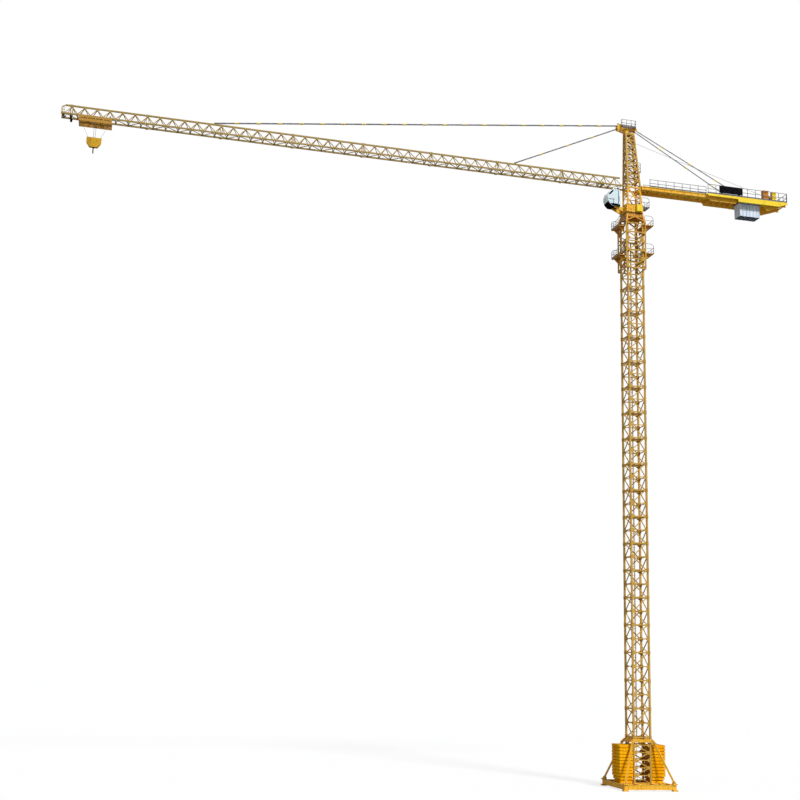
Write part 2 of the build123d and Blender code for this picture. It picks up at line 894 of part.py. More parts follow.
def head_panel(left, right):
    """The lattice between two head legs."""
    whole = head_bays + 2 * head_end_share
    shares = [(k + head_end_share) / whole for k in range(head_bays + 1)]
    rungs = [(share, head_brace) for share in shares[1:]]
    return lattice(left, right, head_leg / 2 + seat_gap, shares, rungs, head_brace, head_brace)


def head_bracing():
    """The four lattices of the head: the near and far sides, the front and the rear."""
    sides = [head_panel(head_leg_line(False, side), head_leg_line(True, side)) for side in (-1, 1)]
    ends = [head_panel(head_leg_line(rear, -1), head_leg_line(rear, 1)) for rear in (False, True)]
    return sides + ends


def head_ladder():
    """The ladder behind the head's front face."""
    x = tower_front + head_brace / 2 + seat_gap + ladder_rail / 2
    half = ladder_width / 2
    return ladder(x, -half, x, half, tower_top + seat_gap, head_level - ladder_stop)


def head_rest():
    """The small railed resting deck behind the head's rear legs."""
    share = (head_rest_level - deck_thickness - tower_top) / (head_level - tower_top)
    face = tower_rear + (head_rear - tower_rear) * share + head_brace / 2 + seat_gap
    outer = face + head_rest_depth
    return railed_deck(face, outer, head_rest_half_width, head_rest_level, rail_height, head_rest_depth / 2, 2)


def head_cheek():
    """The outline of the head box's side plates, with the nose and its window cut out."""
    outline = [
        (head_front, head_floor - nose_drop), (nose_tip, head_floor - nose_lip),
        (nose_tip, head_top - nose_bevel), (nose_tip + nose_bevel, head_top),
        (head_box_rear - rear_bevel, head_top), (head_box_rear, head_floor),
        (head_box_rear, head_floor - rear_lip), (head_box_rear - rear_bevel, head_floor - rear_lip),
        (head_box_rear - 2 * rear_bevel, head_floor), (head_front, head_floor),
    ]
    window = [
        (head_front - nose_frame, head_floor - nose_frame),
        (head_front - nose_frame, head_floor - nose_drop + 2 * nose_frame),
        (nose_tip + 3 * nose_frame, head_floor - nose_frame),
    ]
    return upright_plate(outline, 0, head_plate) - upright_plate(window, 0, head_plate)


front_high_pin = (nose_tip + pin_inset, 0, head_top - pin_inset)
front_low_pin = (nose_tip + pin_inset, 0, head_floor - nose_lip + pin_inset)
rear_pin = (head_box_rear - pin_inset, 0, head_floor - rear_lip + pin_inset)
hoist_pulley_z = head_level - hoist_pulley_drop


def head_box():
    """A cap over the legs, a column, a floor with two cheeks, the tie pins and the pulley's straps."""
    cap_low = head_level + seat_gap
    cap_high = cap_low + head_plate
    reach = head_half_width + head_leg / 2
    box = slab(head_front, head_rear + head_leg / 2, -reach, reach, cap_low, cap_high)
    x0, x1 = head_front, head_front + column_width
    hollow = reach - head_plate
    column = slab(x0, x1, -reach, reach, cap_high, head_floor)
    box += column - slab(x0 + head_plate, x1 - head_plate, -hollow, hollow, cap_high, head_floor)
    box += slab(head_front, head_box_rear, -reach, reach, head_floor, head_floor + head_plate)
    cheek = head_cheek()
    for y in (-head_half_width, head_half_width - head_plate):
        box += Pos(0, y, 0) * cheek
    for x, _, z in (front_high_pin, front_low_pin, rear_pin):
        box += pin(x, 0, z, pin_radius, 2 * head_half_width - head_plate)
    strap_low = hoist_pulley_z - strap_width / 2
    strap = Box(strap_width, strap_plate, cap_high - strap_low)
    for y in (-sheave_width, sheave_width):
        box += Pos(hoist_pulley_x, y, (strap_low + cap_high) / 2) * strap
    return box


def pulley(x, z, width, pin_length):
    """A rope pulley on its pin."""
    return wheel(x, 0, z, head_pulley_radius, width) + pin(x, 0, z, pin_radius, pin_length)


hoist_reach = head_pulley_radius + rope_side / 2 + seat_gap
root_pulley_x = hoist_pulley_x - 2 * hoist_reach
root_pulley_z = jib_point(-root_pulley_x, 0, rope_level)[2] + hoist_reach


def head_pulleys():
    """Two pulleys in the head box, the hoist rope's pulley under it and the one at the jib's root."""
    z = head_floor + head_plate + seat_gap + head_pulley_radius
    cheeks = 2 * (head_half_width - head_plate - seat_gap)
    x = head_front + column_width / 2
    straps = 2 * sheave_width - strap_plate - 2 * seat_gap
    tower = 2 * (tower_half_width - tower_rung / 2 - seat_gap)
    return [pulley(x, z, head_pulley_width, cheeks), pulley(x + box_pulley_pitch, z, head_pulley_width, cheeks),
            pulley(hoist_pulley_x, hoist_pulley_z, sheave_width, straps),
            pulley(root_pulley_x, root_pulley_z, sheave_width, tower)]


def head_deck():
    """A railed deck on each side of the head box."""
    decks = []
    for side in (-1, 1):
        near = head_half_width + head_leg / 2 + seat_gap
        far = near + head_deck_width
        level = head_floor + deck_thickness
        deck = slab(head_deck_front, head_deck_rear, side * near, side * far, head_floor, level)
        edge = side * (far - rail_bar / 2)
        ends = ((head_deck_front, edge, level), (head_deck_rear, edge, level))
        deck += rail_comb(*ends, head_rail_height, rail_posts, rail_bar)
        for x in (head_deck_front + rail_bar / 2, head_deck_rear - rail_bar / 2):
            deck += rail_comb((x, side * near, level), (x, side * far, level), head_rail_height, 2, rail_bar)
        decks.append(deck)
    return decks


# Jib: two lower chords that carry the trolley, one upper chord, two raking sides and a floor
def joint_bays():
    """The places of the jib's section joints, in bays from its first frame."""
    return [first_joint_bay + section_bays * k for k in range(jib_joints)]


def chord_lug(reach):
    """A plate on the upper chord that takes a tie's pin."""
    top = jib_depth + upper_chord / 2 - bearing_gap
    foot, crown = jib_point(reach, 0, top), jib_point(reach, 0, top + tie_lug)
    half = tie_spread / 2 - tie_width / 2 - seat_gap
    profile = [(foot[0] - tie_lug, foot[2]), (foot[0] + tie_lug, foot[2]),
               (crown[0] + tie_lug_crown, crown[2]), (crown[0] - tie_lug_crown, crown[2])]
    return upright_plate(profile, -half, half)


def jib_chords():
    """The three hollow chords, with joint plates under the lower ones and sleeves on the upper."""
    root = tower_leg / 2 + seat_gap - tower_front
    tip = jib_end + jib_tip_length
    lower = {y: tube(jib_point(root, y), jib_point(tip, y), lower_chord, chord_wall)
             for y in (-jib_half_width, jib_half_width)}
    ends = (jib_point(jib_first_bay, 0, jib_depth), jib_point(jib_end, 0, jib_depth))
    upper = tube(*ends, upper_chord, chord_wall)
    under = (chord_wall - lower_chord - joint_plate) / 2
    for bay in joint_bays():
        near = jib_first_bay + jib_bay * bay - joint_half_length
        far = near + 2 * joint_half_length
        for y in lower:
            lower[y] += beam(jib_point(near, y, under), jib_point(far, y, under), joint_plate, joint_plate)
        ends = (jib_point(near, 0, jib_depth), jib_point(far, 0, jib_depth))
        upper += tube(*ends, upper_chord + 2 * joint_swell, joint_swell + chord_wall / 2)
    return [*lower.values(), upper + chord_lug(long_tie_reach) + chord_lug(short_tie_reach)]


def jib_side(side):
    """One raking side: W braces between a lower chord and the upper one, doubled at the joints."""
    slope = hypot(jib_depth, jib_side_foot)
    half = upper_chord / 2 + joint_swell
    inset = (half * slope + jib_brace_depth / 2 * jib_side_foot) / jib_depth + seat_gap
    lower = (jib_point(jib_first_bay, side * jib_side_foot), jib_point(jib_end, side * jib_side_foot))
    upper = (jib_point(jib_first_bay, 0, jib_depth), jib_point(jib_end, 0, jib_depth))
    count = 2 * jib_bays
    shares = [k / count for k in range(count + 1)]
    length = jib_bay * jib_bays
    struts = [(bay / jib_bays + step * joint_strut_set / length, joint_strut)
              for bay in joint_bays() for step in (-1, 1)]
    return lattice(lower, upper, inset, shares, struts, jib_brace, jib_brace_depth)


def jib_floor():
    """The level bracing between the lower chords: a cross bar and a diagonal in each bay."""
    near = (jib_point(jib_first_bay, -jib_half_width), jib_point(jib_end, -jib_half_width))
    far = (jib_point(jib_first_bay, jib_half_width), jib_point(jib_end, jib_half_width))
    shares = [k / jib_bays for k in range(jib_bays + 1)]
    rungs = [(share, jib_rung) for share in shares]
    return lattice(near, far, lower_chord / 2 + seat_gap, shares, rungs, jib_brace, jib_brace_depth)


nose_reach = jib_end + jib_tip_length - tip_beam


def jib_tip():
    """The nose beyond the last bay: a cross frame, a post, the rope's anchor lug and two small rails."""
    low, high = jib_point(nose_reach, 0, -anchor_lug), jib_point(nose_reach, 0, tip_post_height)
    nose = beam(jib_point(nose_reach, -chord_inner), jib_point(nose_reach, chord_inner), tip_beam)
    nose += beam(low, high, tip_post)
    nose += beam(high, jib_point(jib_end + seat_gap, 0, jib_depth), tip_post)
    rails = [nose]
    for y in (-jib_half_width, jib_half_width):
        base = lower_chord / 2 + seat_gap
        start, end = jib_point(jib_end, y, base), jib_point(jib_end + jib_tip_length, y, base)
        rails.append(rail_comb(start, end, tip_rail_height, tip_rail_posts, rail_bar))
    return rails


def jib_buffers():
    """Dark cross bars that stop the trolley at the tip, the inner one in two halves under the chords."""
    end = jib_end + jib_tip_length - buffer_set
    bars = [beam(jib_point(end, -chord_inner), jib_point(end, chord_inner), buffer_width / 2, lower_chord)]
    reach = jib_end - jib_bay / 2
    drop = -lower_chord / 2 - joint_plate - seat_gap - buffer_width / 2
    for side in (-1, 1):
        ends = (jib_point(reach, side * buffer_gap, drop), jib_point(reach, side * chord_face, drop))
        bars.append(beam(*ends, buffer_width))
    return bars


# Ties: pairs of flat bars with swollen links, from the head to the jib and to the counter-jib
def tie_bar(first, last, links):
    """One tie from its pin to its foot, with swollen links along it."""
    along = (last - first).normalized()
    start = first + along * (pin_radius + seat_gap)
    bar = beam(start, last, tie_width, tie_depth)
    reach = (last - start).length
    for k in range(links):
        middle = start + along * (reach * (k + 1) / (links + 1))
        step = along * link_half_length
        bar += beam(middle - step, middle + step, tie_width + 2 * link_swell, tie_depth + 2 * link_swell)
    return bar


def tie_pair(start, end, spread_start, spread_end, links):
    """Two ties side by side between two pins."""
    bars = []
    for side in (-1, 1):
        first = Vector(start[0], side * spread_start, start[2])
        bars.append(tie_bar(first, Vector(end[0], side * spread_end, end[2]), links))
    return bars


def tie_end(reach):
    """The pin's place in a chord lug."""
    return jib_point(reach, 0, jib_depth + upper_chord / 2 + seat_gap + tie_lug / 2)


def front_ties():
    """The long and the short pair of ties to the jib."""
    half = tie_spread / 2
    long_pair = tie_pair(front_high_pin, tie_end(long_tie_reach), half, half, long_tie_links)
    return long_pair + tie_pair(front_low_pin, tie_end(short_tie_reach), half, half, short_tie_links)


def rear_ties():
    """The pair of ties to the counter-jib's beams."""
    foot = (counter_end - rear_tie_from_end, 0, counter_deck + rear_foot_lift)
    inner = head_half_width - head_plate - link_swell - tie_width
    return tie_pair(rear_pin, foot, inner, counter_half_width, rear_tie_links)


# Counter-jib: two beams with floor bracing, a wide railed platform, the weight and the winch
def i_beam(start, end, y):
    """One of the counter-jib's I-section beams, lying along X."""
    half, web = counter_beam_width / 2, counter_flange / 2
    low, high = counter_level, counter_top
    side = [(half, low), (half, low + counter_flange), (web, low + counter_flange),
            (web, high - counter_flange), (half, high - counter_flange), (half, high)]
    points = side + [(-across, z) for across, z in side[::-1]]
    edge = Polyline(*[(start, y + across, z) for across, z in points], close=True)
    return extrude(make_face(edge), amount=end - start, dir=(1, 0, 0))


def counter_frame():
    """The two beams, the root beam, the floor bracing and the winch's raking brackets."""
    beams = [i_beam(counter_root, counter_end, y) for y in (-counter_half_width, counter_half_width)]
    root = tower_rear + tower_leg / 2 + seat_gap
    reach = counter_half_width + counter_beam_width / 2
    beams.append(slab(root, counter_root + counter_beam_width, -reach, reach, counter_level, counter_top))
    frame = beams[0].fuse(*beams[1:])
    middle = (counter_level + counter_top) / 2
    near = ((counter_root, -counter_half_width, middle), (counter_end, -counter_half_width, middle))
    far = ((counter_root, counter_half_width, middle), (counter_end, counter_half_width, middle))
    whole = counter_bays + 2 * counter_end_share
    shares = [(k + counter_end_share) / whole for k in range(counter_bays + 1)]
    rungs = [(share, counter_rung) for share in shares]
    inset = counter_flange / 2 - bearing_gap
    frame += lattice(near, far, inset, shares, rungs, counter_brace, counter_brace)
    start = counter_end - bracket_from_end
    rake = [(start, counter_level), (start + bracket_length, counter_level),
            (start + bracket_drop, counter_level - bracket_drop),
            (start + bracket_drop / 2, counter_level - bracket_drop)]
    for y in (-counter_half_width, counter_half_width):
        frame += upright_plate(rake, y - bracket_plate / 2, y + bracket_plate / 2)
    return frame


def counter_decks():
    """The narrow walkway, then the wide deck with deep edge plates."""
    low = counter_top + seat_gap
    half = counter_half_width + counter_beam_width / 2
    walkway = slab(counter_root, platform_start - seat_gap, -half, half, low, counter_deck)
    deck = slab(platform_start, counter_end, -platform_half_width, platform_half_width, low, counter_deck)
    for side in (-1, 1):
        edge = side * platform_half_width
        inner = edge - side * counter_plank
        deck += slab(platform_start, counter_end, edge, inner, low - platform_depth, counter_deck)
    return [walkway, deck]


def counter_rails():
    """Two inner rails, then rails round the wide platform."""
    base = counter_deck + seat_gap
    rails = []
    for side in (-1, 1):
        y = side * counter_half_width
        ends = ((walk_rail_start, y, base), (platform_start - seat_gap, y, base))
        rails.append(rail_comb(*ends, counter_rail_height, walk_posts, hand_bar))
        edge = side * (platform_half_width - hand_bar / 2)
        ends = ((platform_start, edge, base), (counter_end - hand_bar - seat_gap, edge, base))
        rails.append(rail_comb(*ends, platform_rail_height, platform_posts, hand_bar))
    far = counter_end - hand_bar / 2
    ends = ((far, -platform_half_width, base), (far, platform_half_width, base))
    rails.append(rail_comb(*ends, platform_rail_height, end_posts, hand_bar))
    return rails


def sign_board():
    """The bare board on the near rail of the platform."""
    face = platform_half_width + seat_gap
    low = counter_deck + board_lift
    start = platform_start + board_inset
    return slab(start, start + board_length, -face - board_thickness, -face, low, low + board_height)


def counter_weights():
    """Cast slabs that hang in a row under the beams by their shoulders."""
    top = counter_level - seat_gap
    slabs = []
    for k in range(weight_count):
        x = counter_end - weight_from_end + k * weight_pitch
        body = slab(x, x + weight_slab, -weight_half_width, weight_half_width, top - weight_height, top)
        ears = slab(x, x + weight_slab, -counter_half_width, counter_half_width, top - weight_ear, top)
        slabs.append(body + ears)
    return slabs


def hoist_winch():
    """The hoist winch: a flanged drum between two stands on a bed, with its motor case."""
    deck = counter_deck + seat_gap
    start = winch_x - winch_axle
    bed_high = deck + winch_foot
    half = winch_drum_length / 2
    reach = half + 2 * winch_plate + winch_foot
    winch = slab(start, start + winch_bed, -reach, reach, deck, bed_high)
    for y in (-half - winch_plate, half + winch_plate):
        near, far = winch_x - winch_stand / 2, winch_x + winch_stand / 2
        stand = [(near, bed_high), (far, bed_high), (winch_x + winch_stand / 4, winch_z + 2 * winch_plate),
                 (winch_x - winch_stand / 4, winch_z + 2 * winch_plate)]
        winch += upright_plate(stand, y - winch_plate, y + winch_plate)
    winch += wheel(winch_x, 0, winch_z, winch_drum_radius, winch_drum_length)
    for y in (-half + winch_plate / 2, half - winch_plate / 2):
        winch += wheel(winch_x, y, winch_z, winch_drum_radius + winch_flange, winch_plate)
    motor = winch_x + winch_drum_radius + winch_flange + running_gap
    case = slab(motor, motor + winch_motor, -half, half, bed_high, winch_z + winch_plate)
    top_edges = case.edges().filter_by(Axis.Y).sort_by(Axis.Z)[-2:]
    return winch + fillet(top_edges, winch_foot)


def hoist_rope():
    """The hoist rope's runs: drum to head pulley, down to the jib's root, along the jib to its tip."""
    drum, head = Vector(winch_x, 0, winch_z), Vector(hoist_pulley_x, 0, hoist_pulley_z)
    along = (drum - head).normalized()
    lift = Vector(-along.Z, 0, along.X)
    drum_reach = winch_drum_radius + rope_side / 2 + seat_gap
    start, end = drum + lift * drum_reach, head + lift * hoist_reach
    x = hoist_pulley_x - hoist_reach
    tip = jib_point(nose_reach - tip_post / 2 - seat_gap, 0, rope_level)
    root = (root_pulley_x, 0, root_pulley_z - hoist_reach)
    return [beam(start, end, rope_side), beam((x, 0, root_pulley_z), (x, 0, hoist_pulley_z), rope_side),
            beam(root, tip, rope_side)]


# Trolley: two plate sides joined by cross beams under the chords, wheels on the chords
def trolley_side(y):
    """One side plate with a row of windows, and arms up to the wheels."""
    low, high = -trolley_drop, -lower_chord / 2 + joint_swell
    middle = (low + high) / 2
    near, far = trolley_ends
    side = beam(jib_point(near, y, middle), jib_point(far, y, middle), trolley_plate, high - low)
    pitch = (far - near - window_margin) / trolley_windows
    for k in range(trolley_windows):
        start = near + window_margin + k * pitch
        ends = (jib_point(start, y, middle), jib_point(start + pitch - window_margin, y, middle))
        side -= beam(*ends, trolley_beam, window_height)
    for reach in wheel_reaches:
        top = wheel_level + wheel_arm_rise
        side += beam(jib_point(reach, y, middle), jib_point(reach, y, top), trolley_beam, trolley_plate)
    return side


def trolley_frame():
    """Both sides, the cross beams and the two plates that hold the sheaves."""
    frame = trolley_side(-trolley_y) + trolley_side(trolley_y)
    level = -trolley_drop + trolley_beam / 2
    near, far = trolley_ends
    for reach in (near + trolley_beam / 2, trolley_place, far - trolley_beam / 2):
        frame += beam(jib_point(reach, -trolley_y, level), jib_point(reach, trolley_y, level), trolley_beam)
    high = sheave_level + cheek_rise
    middle = (level + high) / 2
    for y in (-sheave_width, sheave_width):
        frame += beam(jib_point(near, y, middle), jib_point(far, y, middle), cheek_plate, high - level)
    return frame


def trolley_wheels():
    """The four wheels on the chords, each with its stub axle."""
    wheels = []
    outer = trolley_face - bearing_gap
    for reach in wheel_reaches:
        x, _, z = jib_point(reach, 0, wheel_level)
        for side in (-1, 1):
            y = jib_side_foot + running_gap + wheel_width / 2
            axle = pin(x, side * (y + outer) / 2, z, axle_radius, outer - y)
            wheels.append(wheel(x, side * y, z, wheel_radius, wheel_width) + axle)
    return wheels


def trolley_sheaves():
    """The four rope sheaves between the trolley's middle plates."""
    length = 2 * sheave_width - cheek_plate - 2 * seat_gap
    sheaves = []
    for offset in sheave_offsets:
        x, _, z = jib_point(trolley_place + offset, 0, sheave_level)
        sheaves.append(wheel(x, 0, z, sheave_radius, sheave_width) + pin(x, 0, z, pin_radius, length))
    return sheaves


# Hook block and hook: the four falls, the rounded block with its sheaves, the forged hook
def hook_falls():
    """The four rope falls from the trolley's sheaves to the hook block."""
    level = jib_point(trolley_place, 0, sheave_level)[2]
    falls = []
    for top, foot in zip(fall_tops, fall_feet):
        start = (-trolley_place - top, 0, level)
        falls.append(leaning(start, (-trolley_place - foot, 0, hook_block_top + seat_gap), rope_side))
    return falls


def hook_block():
    """Two rounded cheeks with sheaves between them, a cover over the ropes and a nut block."""
    centre, top, low = -trolley_place, hook_block_top, hook_block_top - hook_block_height
    waist = half_block - hook_block_height * block_taper
    outline = [(-half_block, top), (half_block, top), (half_block, top - block_shoulder), (waist, low),
               (-waist, low), (-half_block, top - block_shoulder)]
    cheek = upright_plate([(centre + x, z) for x, z in outline], 0, cheek_plate)
    rounded = [edge for edge in cheek.edges().filter_by(Axis.Y) if edge.center().Z < top - seat_gap]
    cheek = fillet(rounded, block_round)
    side = hook_block_depth / 2
    block = Pos(0, -side, 0) * cheek + Pos(0, side - cheek_plate, 0) * cheek
    block += slab(centre - half_block, centre + half_block, -side, side, top - cheek_plate, top)
    block += slab(centre - hook_bar, centre + hook_bar, -side, side, low, low + hook_bar)
    radius = (fall_feet[1] - fall_feet[0]) / 2 - rope_side
    for first, last in (fall_feet[:2], fall_feet[2:]):
        x, z = centre + (first + last) / 2, top - cheek_plate - radius - rope_side
        block += wheel(x, 0, z, radius, sheave_width) + pin(x, 0, z, pin_radius, hook_block_depth)
    return block


def hook():
    """A forged hook across the jib: a round shank, a bowl of eight-sided section, a rising tip."""
    top = hook_block_top - hook_block_height - seat_gap
    x = -trolley_place
    bowl = hook_height * hook_bowl_share
    centre = top - hook_height + bowl + hook_bar / 2
    section = Plane(origin=(x, -bowl, centre), z_dir=(0, 0, 1)) * RegularPolygon(hook_bar / 2, hook_sides)
    axis = Axis((x, 0, centre), (1, 0, 0))
    forged = revolve(section, axis, hook_turn) + revolve(section, axis, -hook_back)
    shank_foot = centre + bowl - hook_bar / 4
    return forged + Pos(x, 0, (shank_foot + top) / 2) * Cylinder(hook_bar / 2, top - shank_foot)


keep("base_frame", base_frame())
keep("base_collar", base_collar())
keep("base_struts", *base_struts())
keep("ballast_stacks", ballast_stack(-1), ballast_stack(1))
keep("mast_legs", *[mast_leg(x, y) for x, y in corners(half_legs)])
for name, turn in (("front", 0), ("left", -90), ("back", 180), ("right", 90)):
    keep(f"mast_side_{name}", mast_side(turn))
keep("mast_ladder", mast_ladder())
keep("climb_rod", climb_rod())
keep("cage_posts", *cage_posts())
keep("cage_sides", cage_side(0), cage_side(-90), cage_side(90), cage_back_frame())
keep("cage_guides", *cage_guides())
keep("cage_decks", *[side_deck(*place) for place in side_decks()])
keep("cage_rails", *[side_rail(*place) for place in side_decks()])
keep("climb_barrel", climb_barrel())
keep("slewing_support", slewing_support())
keep("slewing_ring", slewing_ring())
keep("turntable", turntable())
keep("slew_drives", *slew_drives())
keep("slewing_tower", slewing_tower())
keep("rest_deck", rest_deck())
keep("cab_body", cab_body())
keep("cab_panes", *cab_panes())
keep("head_legs", *head_legs())
keep("head_bracing", *head_bracing())
keep("head_ladder", head_ladder())
keep("head_rest", head_rest())
keep("head_box", head_box())
keep("head_pulleys", *head_pulleys())
keep("head_deck", *head_deck())
keep("jib_chords", *jib_chords())
keep("jib_side_near", jib_side(-1))
keep("jib_side_far", jib_side(1))
keep("jib_floor", jib_floor())
keep("jib_tip", *jib_tip())
keep("jib_buffers", *jib_buffers())
keep("front_ties", *front_ties())
keep("rear_ties", *rear_ties())
keep("counter_frame", counter_frame())
keep("counter_decks", *counter_decks())
keep("counter_rails", *counter_rails())
keep("sign_board", sign_board())
keep("counter_weights", *counter_weights())
keep("hoist_winch", hoist_winch())
keep("hoist_rope", *hoist_rope())
keep("trolley_frame", trolley_frame())
keep("trolley_wheels", *trolley_wheels(), *trolley_sheaves())
keep("hook_falls", *hook_falls())
keep("hook_block", hook_block())
keep("hook", hook())

os.makedirs("parts", exist_ok=True)
for name, solids in node_shapes.items():
    export_step(Compound(children=solids) if len(solids) > 1 else solids[0], f"parts/{name}.step")
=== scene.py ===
import logging
from dataclasses import dataclass
from enum import Enum
from math import cos, pi, radians, sin, tau

import bmesh
import bpy
import numpy as np
from mathutils import Matrix


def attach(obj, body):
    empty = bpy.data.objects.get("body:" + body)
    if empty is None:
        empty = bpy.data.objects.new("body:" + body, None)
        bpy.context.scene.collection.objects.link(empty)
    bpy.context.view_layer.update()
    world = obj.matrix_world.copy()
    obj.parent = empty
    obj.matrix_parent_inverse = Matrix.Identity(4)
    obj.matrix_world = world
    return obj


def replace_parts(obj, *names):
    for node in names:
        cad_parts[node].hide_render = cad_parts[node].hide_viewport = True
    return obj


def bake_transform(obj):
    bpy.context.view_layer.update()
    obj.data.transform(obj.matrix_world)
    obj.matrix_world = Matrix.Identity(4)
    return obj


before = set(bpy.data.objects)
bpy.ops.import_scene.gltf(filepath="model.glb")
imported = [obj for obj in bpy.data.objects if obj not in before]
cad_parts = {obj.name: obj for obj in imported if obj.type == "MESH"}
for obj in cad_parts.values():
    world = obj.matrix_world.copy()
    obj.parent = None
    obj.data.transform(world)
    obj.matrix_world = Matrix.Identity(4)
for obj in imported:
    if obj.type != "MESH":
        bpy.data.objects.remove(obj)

log = logging.getLogger("tower_crane")
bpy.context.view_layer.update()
Pair = tuple[float, float]
Point = tuple[float, float, float]
Colour = tuple[float, float, float]


class Axis(Enum):
    """The axis that a round or drawn-out form is built along: its two cross axes, then itself."""

    X = ((0, 1, 0), (0, 0, 1), (1, 0, 0))
    Y = ((0, 0, 1), (1, 0, 0), (0, 1, 0))
    Z = ((1, 0, 0), (0, 1, 0), (0, 0, 1))

    @property
    def rows(self) -> np.ndarray:
        """The three axes as the rows of a matrix."""
        return np.array(self.value, float)


def unit(vectors: np.ndarray) -> np.ndarray:
    """Each vector divided by its own length."""
    return vectors / np.linalg.norm(vectors, axis=-1, keepdims=True)


def stacked(*columns: object) -> np.ndarray:
    """Columns of numbers, or one number for a whole column, side by side as rows."""
    return np.stack(np.broadcast_arrays(*columns), axis=-1).astype(float)


@dataclass
class Shape:
    """One or more closed forms: points, and faces grouped by their number of corners."""

    points: np.ndarray
    faces: list[np.ndarray]

    def placed(self, offsets: np.ndarray, turns: np.ndarray | None = None) -> "Shape":
        """Copies of the shape: each point is turned by a copy's matrix and then moved by its offset.

        Args:
            offsets: one offset for each copy, in metres.
            turns: one 3 by 3 matrix for each copy, or None for no turn.

        Returns:
            The copies as one shape.
        """
        offsets = np.atleast_2d(np.asarray(offsets, float))
        if turns is None:
            points = self.points[None] + offsets[:, None]
        else:
            points = np.einsum("kij,nj->kni", turns, self.points) + offsets[:, None]
        steps = np.arange(len(offsets)) * len(self.points)
        faces = [(face[None] + steps[:, None, None]).reshape(-1, face.shape[1]) for face in self.faces]
        return Shape(points.reshape(-1, 3), faces)

    def mirrored(self, axis: Axis = Axis.Y) -> "Shape":
        """The shape and its mirror image across the origin along an axis, with its faces turned round."""
        flip = 1 - 2 * axis.rows[2]
        return joined(self, Shape(self.points * flip, [face[:, ::-1] for face in self.faces]))

    def raised(self, levels: np.ndarray) -> "Shape":
        """Copies of the shape moved up by each level."""
        return self.placed(stacked(0, 0, levels))

    def turned(self, angle: float) -> "Shape":
        """The shape turned round the upright axis through the origin."""
        turn = np.array([[cos(angle), -sin(angle), 0], [sin(angle), cos(angle), 0], [0, 0, 1]])
        return Shape(self.points @ turn.T, self.faces)

    def ringed(self, copies: int = 4) -> "Shape":
        """Copies turned by equal angles round the upright axis through the origin.

        Args:
            copies: how many.

        Returns:
            The copies as one shape.
        """
        angles = np.arange(copies) * tau / copies
        zero, one = np.zeros(copies), np.ones(copies)
        cosine, sine = np.cos(angles), np.sin(angles)
        turns = np.array([[cosine, -sine, zero], [sine, cosine, zero], [zero, zero, one]])
        return self.placed(np.zeros((copies, 3)), turns.transpose(2, 0, 1))


def joined(*shapes: Shape) -> Shape:
    """All the shapes as one, their face numbers shifted by the points before them.

    Args:
        shapes: the shapes to join.

    Returns:
        One shape that holds them all.
    """
    starts = np.cumsum([0] + [len(shape.points) for shape in shapes])
    faces = [face + start for shape, start in zip(shapes, starts) for face in shape.faces]
    return Shape(np.concatenate([shape.points for shape in shapes]), faces)


def ring_faces(rows: int, columns: int, closed_rows: bool = False) -> np.ndarray:
    """The quads of a tube of points: each joins a point, its neighbour round the ring, and the
    same two on the next ring.

    Args:
        rows: how many rings.
        columns: how many points in a ring.
        closed_rows: whether the last ring joins the first.

    Returns:
        An array of quads.
    """
    row = np.arange(rows if closed_rows else rows - 1)[:, None]
    column = np.arange(columns)[None]
    after, beside = (row + 1) % rows, (column + 1) % columns
    quads = np.stack([row * columns + column, row * columns + beside,
                      after * columns + beside, after * columns + column], axis=-1)
    return quads.reshape(-1, 4)


def end_caps(rows: int, columns: int) -> np.ndarray:
    """The two many-sided faces that close a tube's first and last rings."""
    first = np.arange(columns)[::-1]
    return np.stack([first, (rows - 1) * columns + np.arange(columns)])


def rectangle(width: float, depth: float) -> np.ndarray:
    """The four corners of a rectangle round the origin."""
    return np.array([(-1, -1), (1, -1), (1, 1), (-1, 1)]) * (width / 2, depth / 2)


def circle(radius: float, sides: int = 12) -> np.ndarray:
    """Points at equal angles on a circle: radius times the cosine and the sine."""
    angles = np.arange(sides) * tau / sides
    return radius * np.stack([np.cos(angles), np.sin(angles)], axis=-1)


def curved(before: np.ndarray, corners: np.ndarray, after: np.ndarray, reach: object,
           steps: int) -> np.ndarray:
    """Corners rounded off: each is a quadratic curve between the points at its reach before and
    after it, with the corner as its middle control point.

    Args:
        before: the point before each corner.
        corners: the corners.
        after: the point after each corner.
        reach: how far from a corner its curve begins and ends.
        steps: the points on each curve.

    Returns:
        The points of all the curves.
    """
    t = np.linspace(0, 1, steps)[None, :, None]
    start, end = (corners + unit(other - corners) * reach for other in (before, after))
    curve = start[:, None] * (1 - t) ** 2 + corners[:, None] * 2 * t * (1 - t) + end[:, None] * t**2
    return curve.reshape(-1, corners.shape[1])


def rounded(outline: np.ndarray, radius: float, steps: int = 5) -> np.ndarray:
    """A closed outline with all its corners rounded to one radius."""
    return curved(np.roll(outline, 1, axis=0), outline, np.roll(outline, -1, axis=0), radius, steps)


def bent(corners: np.ndarray, radii: float | tuple[float, ...], steps: int = 5) -> np.ndarray:
    """An open path with its inner corners rounded off.

    Args:
        corners: the path's points.
        radii: how far from a corner its curve begins, one for all or one each.
        steps: the points on each curve.

    Returns:
        The path with its curves.
    """
    corners = np.asarray(corners, float)
    reach = np.broadcast_to(np.asarray(radii, float).reshape(-1, 1), corners[1:-1].shape)
    curve = curved(corners[:-2], corners[1:-1], corners[2:], reach, steps)
    return np.concatenate([corners[:1], curve, corners[-1:]])


def grid(*places: object) -> np.ndarray:
    """Every combination of the places given for each axis, as rows."""
    return np.stack(np.meshgrid(*places, indexing="ij"), axis=-1).reshape(-1, len(places))


